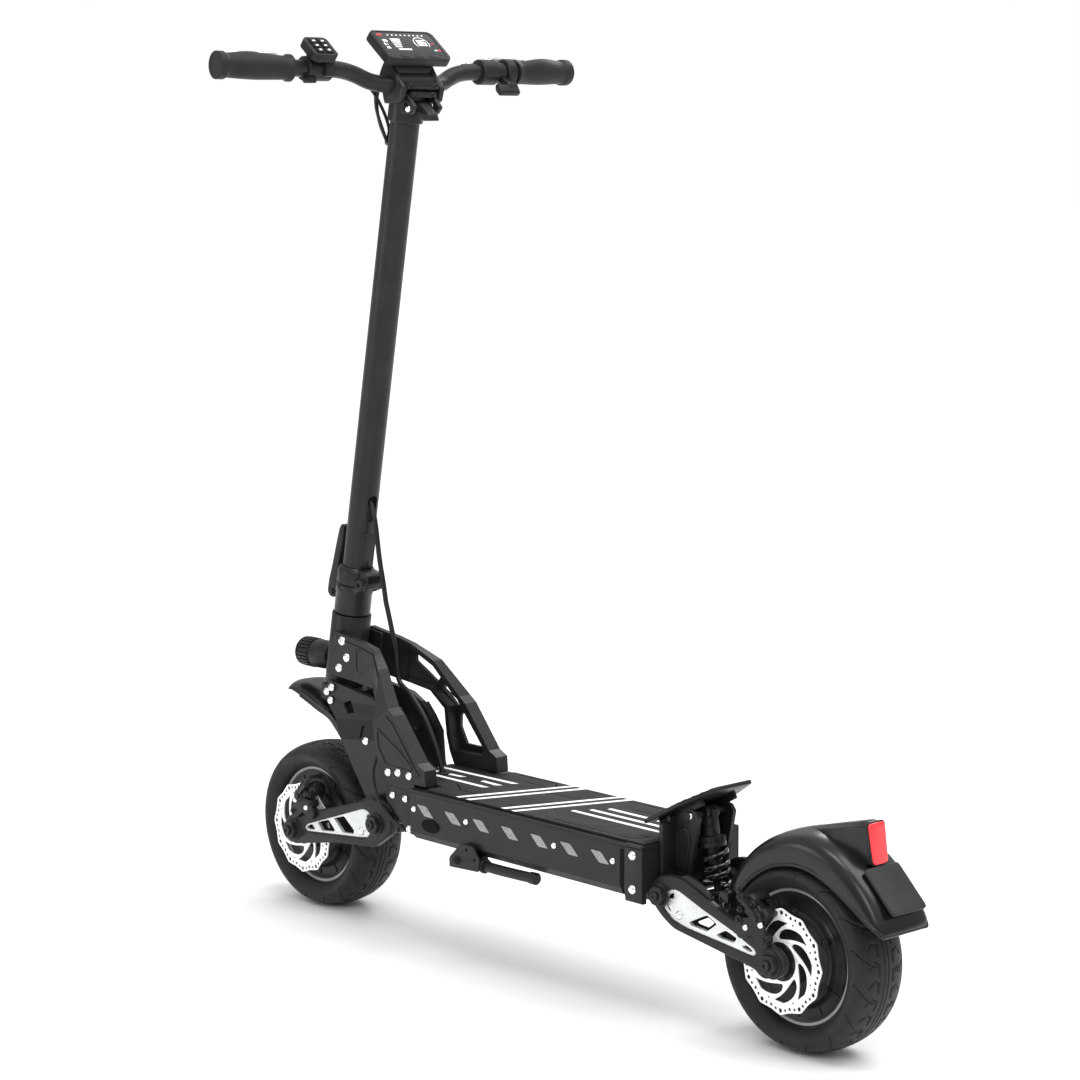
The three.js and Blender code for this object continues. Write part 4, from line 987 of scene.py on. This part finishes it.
# ---- tower and kickplate ----
def tower_details():
    bolt_rows("tower_bolts", "root", ([REAR_SHOCK_TOP], 6.4, 36))
    rib = panel([(-287, 206), (-306, 206), (-314, 250), (-308, 264), (-287, 262)], 4, 35.6, 37.6, 0.4,
        [rounded([(-290, 210), (-303, 210), (-310, 249), (-305, 260), (-290, 258)], 3)])
    emit("tower_embossing", both_sides(rib), PAINT, "root")
    emit("tower_flanges", both_sides(block((-287, 44, 190), (-279.6, 62, 270), 1.5)), PAINT, "root")


def kickplate():
    rise, run = 59, 110
    length = math.hypot(rise, run)
    outline = [(0, 58), (52, 58), (58, 55), (64, 58), (76, 56), (length + 2, 34), (length + 2, -34),
        (76, -56), (64, -58), (58, -55), (52, -58), (0, -58)]
    slope = shift(-246, 0, 265) @ spin(180, "Z") @ spin(-math.degrees(math.atan2(rise, run)), "Y")
    board = plate(rounded(outline, 4), [], 5.6, 1.2)
    grips = []
    for i in range(9):
        x = 14 + i * 12
        half = 50 if x < 70 else 50 - (x - 70) * 0.45
        grips.append(block((x, -half, 2.6), (x + 5, half, 4.2), 0.7))
    brace = both_sides(block((4, 28, -12), (92, 34, -2), 1.5))
    emit("kick_board", moved(merged(board, brace), slope), PAINT, "root", ["kickplate"])
    emit("kick_grips", moved(merged(*grips), slope), GRIT, "root")
    emit("kick_foot", block((-276, -20, 241.4), (-250, 20, 268), 2), PAINT, "root")


# ---- bars and controls ----
def bars():
    right = [(x, -y, z) for x, y, z in BAR_PATH[:0:-1]]
    path = smooth_path([*right, *BAR_PATH], 8)
    emit("bar_tube", sweep(path, circle(BAR_R, 40), up=(0, 0, 1)), PAINT, "stem", ["handlebar"])


def grip(side, name):
    start, end = Vector((306.3, side * 208, 1267.6)), Vector((316.9, side * 326, 1270))
    length = (end - start).length
    stations, count, end_band = 48, 56, length - 14
    rows = []
    for i in range(stations + 1):
        t = i / stations
        d = t * length
        r = 16.6 + 1.6 * math.sin(math.pi * t) ** 2
        if d < 5:
            r = 19.2
        elif d < 9:
            r = 19.2 - (d - 5) * 0.6
        if d > end_band:
            r = 17 + 2.5 * min(1, (d - end_band) / 3)
        swell = 3.2 * math.sin(math.pi * min(1, t * 1.05)) ** 1.5 if 9 < d < end_band else 0
        row = []
        for k in range(count):
            a = TURN * k / count
            reach = r + max(0.0, math.cos(a - 2.6 + 1.3 * t)) ** 6 * swell
            row.append((*at_angle(reach, a), d))
        rows.append(row)
    cap = turned([(0, length - 0.5), (18.4, length - 0.5), (17.2, length + 0.9), (14.6, length + 1.1),
        (14, length + 0.5), (0, length + 0.5)], 48)
    emit(f"{name}_sleeve", moved(merged(skinned(rows), cap), towards(start, end)), RUBBER, "stem", [name],
        smooth=40)


def lever(side, name):
    blade = [(332, 158), (334, 142), (342, 141), (350, 146), (357, 170), (361, 210), (365, 262),
        (370, 276), (367, 284), (359, 282), (352, 262), (348, 210), (343, 172)]
    bm = plate(rounded(blade, 6, 5), [oval(BRAKE_X, BRAKE_Y, 3.2, 3.2), *lightening(351, 188, 246)], 9, 3,
        4)
    for vert in bm.verts:
        vert.co.z += 17 * min(1, max(0, (vert.co.y - 156) / 50))
    bm = moved(bm, shift(0, 0, 1270), Matrix.Diagonal((1, side, 1, 1)))
    emit(f"{name}_blade", bm, LEVER, name, [name])
    pivot = rod((BRAKE_X, side * BRAKE_Y, 1257.5), (BRAKE_X, side * BRAKE_Y, 1282.5), 3.1)
    head = moved(button_bolt(4.6), shift(BRAKE_X, side * BRAKE_Y, 1280.3))
    emit(f"{name}_pivot", merged(pivot, head), STEEL, "stem")


def hand_controls():
    for side, hand in ((1, "left"), (-1, "right")):
        grip(side, f"grip_{hand}")
    for side, hand in ((1, "left"), (-1, "right")):
        lever(side, f"brake_lever_{hand}")


def lightening(x, y0, y1):
    """Three slots along the lever blade."""
    step = (y1 - y0) / 3
    return [oval(x + 2.2 + i * 2.4, y0 + (i + 0.5) * step, 2.1, step * 0.3) for i in range(3)]


def tilted_place(at):
    """The display's plane with its middle at a point."""
    return shift(*at) @ spin(-TILT, "Y")


def digit(value, x, y, size):
    """A seven-segment digit lying in the display's plane; rows run along X, downwards is -X."""
    w, h, t = size * 0.5, size, size * 0.1
    segments = {"a": ((0, h), (w, h)), "b": ((w, h), (w, h / 2)), "c": ((w, h / 2), (w, 0)),
        "d": ((0, 0), (w, 0)), "e": ((0, h / 2), (0, 0)), "f": ((0, h), (0, h / 2)),
        "g": ((0, h / 2), (w, h / 2))}
    lit = {"0": "abcdef", "1": "bc", "2": "abged", "5": "afgcd", "8": "abcdefg"}[value]
    parts = []
    for key in lit:
        (a, b), (c, d) = segments[key]
        u0, u1 = sorted((a, c))
        v0, v1 = sorted((b, d))
        parts.append(((x + v0 - t, x + v1 + t), (y - u1 - t, y - u0 + t)))
    return parts


def display():
    at = tilted_place(DISPLAY_AT)
    case = [(-33, -53), (-27, -59), (27, -59), (33, -53), (33, 53), (27, 59), (-27, 59), (-33, 53)]
    body, glass_at = slab(rounded(case, 6), -1, 13, 2.6, 4), 5.6
    rim = moved(plate(rounded([(x * 0.985, y * 0.99) for x, y in case], 5),
        [rounded([(x * 0.80 + 3, y * 0.88) for x, y in case], 4)], 2.4, 0.6), shift(z=glass_at))
    neck = block((-22, -20, -17), (14, 20, -6), 3)
    emit("display_case", moved(merged(body, rim, neck), at), PLASTIC, "stem", ["display_unit"])
    glass = slab(rounded([(x * 0.80 + 3, y * 0.885) for x, y in case], 3), glass_at, 1.2, 0.3)
    emit("display_glass", moved(glass, at), SCREEN, "stem")
    white, red, green = [], [], []
    for value, y in (("8", -18), ("5", -26)):
        white += digit(value, 0, y, 11)
    for value, y, x, size in (("1", 47, 7, 4), ("8", 43.5, 7, 4), ("5", 40, 7, 4), ("0", 47, -1, 4),
            ("1", 43.5, -1, 4), ("2", 47, -9, 4), ("5", 43.5, -9, 4)):
        white += digit(value, x, y, size)
    for i in range(9):
        white.append(((21.5, 23.6), (27 - i * 8, 29.4 - i * 8)))
    for i in range(5):
        white.append(((12 - i * 4.4, 14 - i * 4.4), (12 + i * 1.5, 30)))
        white.append(((-12, -8.6), (4 + i * 5, 7.4 + i * 5)))
    red += [((21, 25), (40, 43)), ((21, 25), (45, 48)), ((-13, -10), (-49, -45)), ((4, 5), (-47, -40))]
    green += [((-13, -10), (-43, -38))]
    for shapes, material, name in ((white, WHITE_LIT, "white"), (red, RED_LIT, "red"),
            (green, GREEN_LIT, "green")):
        marks = [block((u0, v0, 6.0), (u1, v1, 6.45), 0) for (u0, u1), (v0, v1) in shapes]
        emit(f"display_marks_{name}", moved(merged(*marks), at), material, "stem")
    arc = [(5 + 13 * math.cos(a), -24 + 13 * math.sin(a), 6.2) for a in np.linspace(-2.2, 2.2, 40)]
    dial = sweep(arc, oblong(0.5, 0.2), up=(0, 0, 1))
    emit("display_dial", moved(dial, at), WHITE_LIT, "stem")
    for which, y in (("left", 26), ("middle", 0), ("right", -26)):
        key = block((-30.2, y - 8.6, 3.4), (-23.6, y + 8.6, 7.6), 1.3, 3)
        emit(f"key_{which}", moved(key, at), RUBBER, f"display_button_{which}",
            [f"display_button_{which}"])


def pod():
    at = tilted_place(POD_AT) @ Matrix.Scale(POD_SIZE, 4)
    case = rounded([(-20, -24), (20, -24), (24, -18), (24, 18), (18, 25), (-16, 25), (-24, 16),
        (-24, -16)], 5)
    well = rounded(oblong(18, 17.5), 3)
    shell = merged(slab(case, -3.6, 10, 2.2, 3), moved(plate(case, [well], 6, 1.4, 3), shift(0, 0, 3.4)))
    clamp = [rod((306.9, 140, GRIP_Z), (306.4, 184, GRIP_Z), 17.4, 1.5, 48),
        rod((306.6, 168, 1272), (296, 168, 1290), 12, 2), block((284, 144, 1256), (302, 160, 1279), 3),
        block((290, 172, 1247), (306, 186, 1256), 2)]
    emit("pod_case", merged(moved(shell, at), *clamp, *perch(1)), PLASTIC, "stem", ["switch_pod"])
    keys, marks = [slab(rounded(oblong(17.5, 17), 3), 4.4, 1.6, 0.3)], []
    for x in (-11.5, 0, 11.5):
        for y in (-8.5, 8.5):
            cap = rounded([(x + u, y + v) for u, v in oblong(4.6, 6.4)], 2)
            keys.append(slab(cap, 6.4, 4, 1.0, 3))
            marks.append(slab(oval(x, y, 1.8, 2.6), 8.5, 0.4, 0.1))
    emit("pod_keys", moved(merged(*keys), at), RUBBER, "pod_keypad", ["pod_keypad"])
    emit("pod_key_marks", moved(merged(*marks), at), WHITE_LIT, "pod_keypad")


def perch(side):
    """The clamp and the forked arm that hold a brake lever."""
    y0, y1 = sorted((side * 142, side * 160))
    return [block((314, y0, 1259.6), (347, y1, 1263.6), 1.2),
        block((314, y0, 1276.4), (347, y1, 1280.4), 1.2), block((314, y0, 1259.6), (325, y1, 1280.4), 2),
        rod((318, side * 136, 1270), (334, side * 133, 1270), 5)]


def throttle():
    shapes = [rod((307.4, -141, GRIP_Z), (306.9, -171.6, GRIP_Z), 18.6, 1.5, 48),
        rod((306.8, -188, GRIP_Z), (306.3, -205, GRIP_Z), 20, 2, 48),
        block((321, -204, 1256), (327, -160, 1280), 2), block((311, -204, 1259), (326, -190, 1277), 2),
        *perch(-1)]
    emit("throttle_case", merged(*shapes), PLASTIC, "stem", ["throttle_housing"])
    drum = rod((306.8, -173, GRIP_Z), (306.4, -187, GRIP_Z), 15.1, 0.8, 48)
    paddle = panel([(303, 1254), (296, 1262), (279, 1252), (275, 1237), (284, 1233), (291, 1245)], 4,
        -194, -176, 2.2)
    pad = panel([(288, 1250), (280, 1250), (273, 1238), (279, 1232), (288, 1240)], 3, -197, -158, 2.4)
    emit("thumb_paddle", merged(drum, paddle, pad), PLASTIC, "throttle", ["throttle_lever"])


def bar_clamp():
    saddle = rod((292, -40, 1246), (292, 40, 1246), 19, 1.5, 64)
    collar = ring([(21.6, 1086), (25, 1086), (26, 1087), (26, 1135), (25, 1136), (21.6, 1136)], 64)
    cheek = panel([(281, 1264), (262, 1242), (268, 1222), (306, 1220), (314, 1250), (304, 1283),
        (290, 1278)], 4, 31, 39, 1.6, [oval(292, 1246, 12.4, 12.4)])
    hook = panel([(288, 1228), (262, 1220), (243, 1205), (239, 1195), (256, 1195), (262, 1203),
        (286, 1208)], 3, -9, 9, 1.5)
    arms = both_sides(panel([(286, 1230), (270, 1234), (252, 1214), (262, 1204), (286, 1206)], 3, 20, 27,
        1.2, [oval(272, 1218, 4, 4)]))
    bridge = [block((284, -36, 1262), (302, 36, 1275), 2), block((262, -24, 1228), (276, 24, 1236), 1.5),
        block((264, -30, 1240), (272, 30, 1250), 1.5)]
    screws = [moved(button_bolt(3.6), spin(-90, "Y"), shift(x, y, z)) for x, y, z in ((262.6, 16, 1232),
        (262.6, -16, 1232), (264.4, 22, 1245), (264.4, -22, 1245))]
    emit("clamp_block", merged(saddle, moved(collar, STEER), hook, arms, both_sides(cheek), *bridge),
        ALLOY, "stem", ["bar_clamp"])
    emit("clamp_screws", merged(*screws), ALLOY, "stem")
    emit("hook_bolt", bolts_across([(266, 1212)], 5, 27), CHROME, "stem")


# ---- kickstand ----
def kickstand():
    outer = panel([(79, 184), (54, 184), (39, 167), (42, 149), (104, 146), (104, 160)], 3, 96.6, 99.6,
        0.8, [oval(66, 177, 2.4, 2.4), oval(50, 165, 2.2, 2.2)])
    nut = moved(hex_nut(6.5, 5, 3.4), about_y(STAND_X, STAND_Z, 99.4))
    emit("stand_bracket", merged(block((66, 60, 140), (112, 66, 169), 1.5), outer, nut,
        block((56, 84, 175), (78, 98, 183), 1.5)), PAINT, "root")
    hub_bar = [rod((STAND_X, 62, STAND_Z), (STAND_X, 95, STAND_Z), 7),
        block((66, 62, 150), (84, 88, 162), 1.5), rod((80, 84, 157), (44, 85.5, 155.5), 9.6, 1.5),
        rod((46, 85.5, 155.6), (40, 85.5, 155.6), 10.6, 1)]
    leg = tube([(52, 85, 155.4), (10, 86, 155.6), (-30, 86, 156.4), (-64, 86, 157.4)], 7.4, 28)
    foot = rod((-52, 86, 157.1), (-68, 86, 157.6), 8.6, 2.5)
    emit("stand_leg", merged(*hub_bar, leg, foot), ALLOY, "kickstand", ["kickstand_leg"])


# ---- cables ----
def cables():
    upper = tube([(400, 0, 640), (389, 1, 622), (381, 2, 600), (374, 1, 550), (367, 0, 515), BREAK],
        CABLE_R, 20)
    upper = emit("cable_upper", upper, CABLE, None, ["main_cable_upper"])
    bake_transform(upper)
    route = [BREAK, (350, 0, 452), (341, 0, 420), (338, 0, 390), (330, 0, 368), (305, 0, 352),
        (276, 0, 325), (250, 0, 285), (232, 0, 244), (222, 0, 222), (206, 0, 216), (193, 0, 216)]
    lower = emit("cable_lower", tube(route, CABLE_R, 20), CABLE, None, ["main_cable_lower"])
    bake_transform(lower)
    entry = (338, 8, 1166)
    runs = [[(328, 138, 1270), (334, 110, 1272), (330, 70, 1262), (326, 42, 1246), (338, 26, 1210),
        entry], [(326, -138, 1262), (336, -105, 1246), (352, -55, 1222), (352, -15, 1192), entry],
        [(324, 136, 1262), (331, 112, 1268), (329, 78, 1260), (327, 48, 1243), (334, 20, 1215),
        (340, 2, 1185), entry], [(322, 16, 1290), (336, 19, 1262), (345, 20, 1225), (345, 16, 1195),
        entry]]
    plug_at = STEER @ Vector((22.3, 0, 1052))
    plug = rod(plug_at, STEER @ Vector((34, 0, 1052)), 7, 1.2)
    lead = rod(entry, STEER @ Vector((28, 0, 1052)), 4.6, 1)
    emit("bar_cables", merged(*[tube(run, BAR_CABLE_R, 16) for run in runs], plug, lead), CABLE, "stem",
        ["bar_cable_harness"])
    brake = tube([(296, 40, 352), (300, 62, 330), (291, 70, 290), (292, 84, 250), (276, 88, 212),
        (250, 84, 186), (226, 76, 172)], 2.6, 16)
    emit("side_cable", brake, CABLE, "root")


# ---- the CAD nodes that stay in view ----
KEPT = {"deck_tray": (PAINT, 1.2), "deck_cover": (PAINT, 0.8), "side_rail_left": (PAINT, 0.9),
    "side_rail_right": (PAINT, 0.9), "neck_plate_left": (PAINT, 1.0), "neck_plate_right": (PAINT, 1.0),
    "shock_tower": (PAINT, 1.4), "steerer": (ALLOY, 0), "headset_bearings": (STEEL, 0),
    "fork_plate_left": (PAINT, 1.0), "fork_plate_right": (PAINT, 1.0), "battery_pack": (WRAP, 2.0),
    "motor_controller": (INSERT, 1.5)}


def finish_kept_nodes():
    for node, (material, radius) in KEPT.items():
        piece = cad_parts[node]
        piece.data.materials.clear()
        piece.data.materials.append(material)
        if radius:
            round_edges(piece, radius)


# ---- light, floor and camera ----
def lamp(name, light, place, target):
    """A light in the scene, looking from a place to a target."""
    holder = bpy.data.objects.new(name, light)
    holder.location = place
    holder.rotation_euler = (Vector(target) - Vector(place)).to_track_quat("-Z", "Y").to_euler()
    bpy.context.scene.collection.objects.link(holder)


def studio():
    """White for the camera, grey below and pale above for the surfaces, and five lights."""
    world = bpy.data.worlds.new("studio")
    world.use_nodes = True
    tree = world.node_tree
    shell = tree.nodes["Background"]
    shell.inputs["Strength"].default_value = 1.0
    split = tree.nodes.new("ShaderNodeSeparateXYZ")
    tree.links.new(tree.nodes.new("ShaderNodeTexCoord").outputs["Generated"], split.inputs["Vector"])
    around = ramp(tree, split.outputs["Z"], 0.0, 0.5, (0.22, 0.22, 0.225), (0.90, 0.90, 0.90))
    direct = tree.nodes.new("ShaderNodeLightPath").outputs["Is Camera Ray"]
    tree.links.new(mixed(tree, direct, around, (1, 1, 1)), shell.inputs["Color"])
    bpy.context.scene.world = world
    sky = bpy.data.lights.new("overhead", "SUN")
    sky.energy, sky.angle = 1.6, math.radians(40)
    lamp("overhead", sky, (0, 0, 0), (0.35, 0.25, -1))
    for name, place, target, size, power in (("key", (-2.2, 2.4, 2.6), (0, 0, 0.4), 1.4, 28), ("rim",
            (1.2, -2.6, 2.4), (0, 0, 0.5), 1.0, 22), ("side", (1.8, 3.0, 1.0), (0, 0, 0.6), 1.2, 13),
            ("top", (-0.5, 0.7, 2.6), (-0.3, 0, 0.2), 0.9, 14)):
        light = bpy.data.lights.new(name, "AREA")
        light.shape, light.size, light.energy = "DISK", size, power
        lamp(name, light, place, target)
    bpy.context.scene.view_settings.view_transform = "Standard"
    bm = bmesh.new()
    bmesh.ops.create_grid(bm, x_segments=1, y_segments=1, size=400)
    floor = held(bm, "floor")
    floor.data.materials.append(surface("pale_floor", (0.90, 0.90, 0.90), 0.7, mottle=0.004))


def camera():
    yaw, pitch, roll = -0.7402893, 0.1363475, -0.0031578
    ahead = Vector((math.cos(pitch) * math.cos(yaw), math.cos(pitch) * math.sin(yaw), -math.sin(pitch)))
    right = ahead.cross(Vector((0, 0, 1))).normalized()
    up = right.cross(ahead)
    level = right * math.cos(roll) + up * math.sin(roll)
    lift = up * math.cos(roll) - right * math.sin(roll)
    data = bpy.data.cameras.new("camera")
    data.lens, data.sensor_width = 94.24, 36
    data.clip_end = 60
    eye = bpy.data.objects.new("camera", data)
    turn = Matrix((level, lift, -ahead)).transposed().to_4x4()
    eye.matrix_world = shift(-2.85825, 2.64322, 1.15041) @ turn
    bpy.context.scene.collection.objects.link(eye)
    bpy.context.scene.camera = eye


camera()
studio()
for end, axle, way in (("front", AXLE_X, -1), ("rear", -AXLE_X, 1)):
    tyre(end, axle)
    hub(end, axle)
    disc(end, axle)
    axle_set(end, axle)
    swing_arm(end)
    caliper(end, axle, way)
for end, top, sizes in (("rear", REAR_SHOCK_TOP, (12, 19, 16.8, 4.2)),
        ("front", FRONT_SHOCK_TOP, (11, 12.5, 12, 2))):
    coil, start, stop = shock(end, top, ARMS[end]["brace"], *sizes)
    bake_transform(coil)
for build in (rear_fender, front_fender, deck_mat, rail_details, nose_brackets, neck_details,
        head_and_hinge, stem, headlight, fork_details, tower_details, kickplate, bars, hand_controls,
        display, pod, throttle, bar_clamp, kickstand, cables):
    build()
finish_kept_nodes()
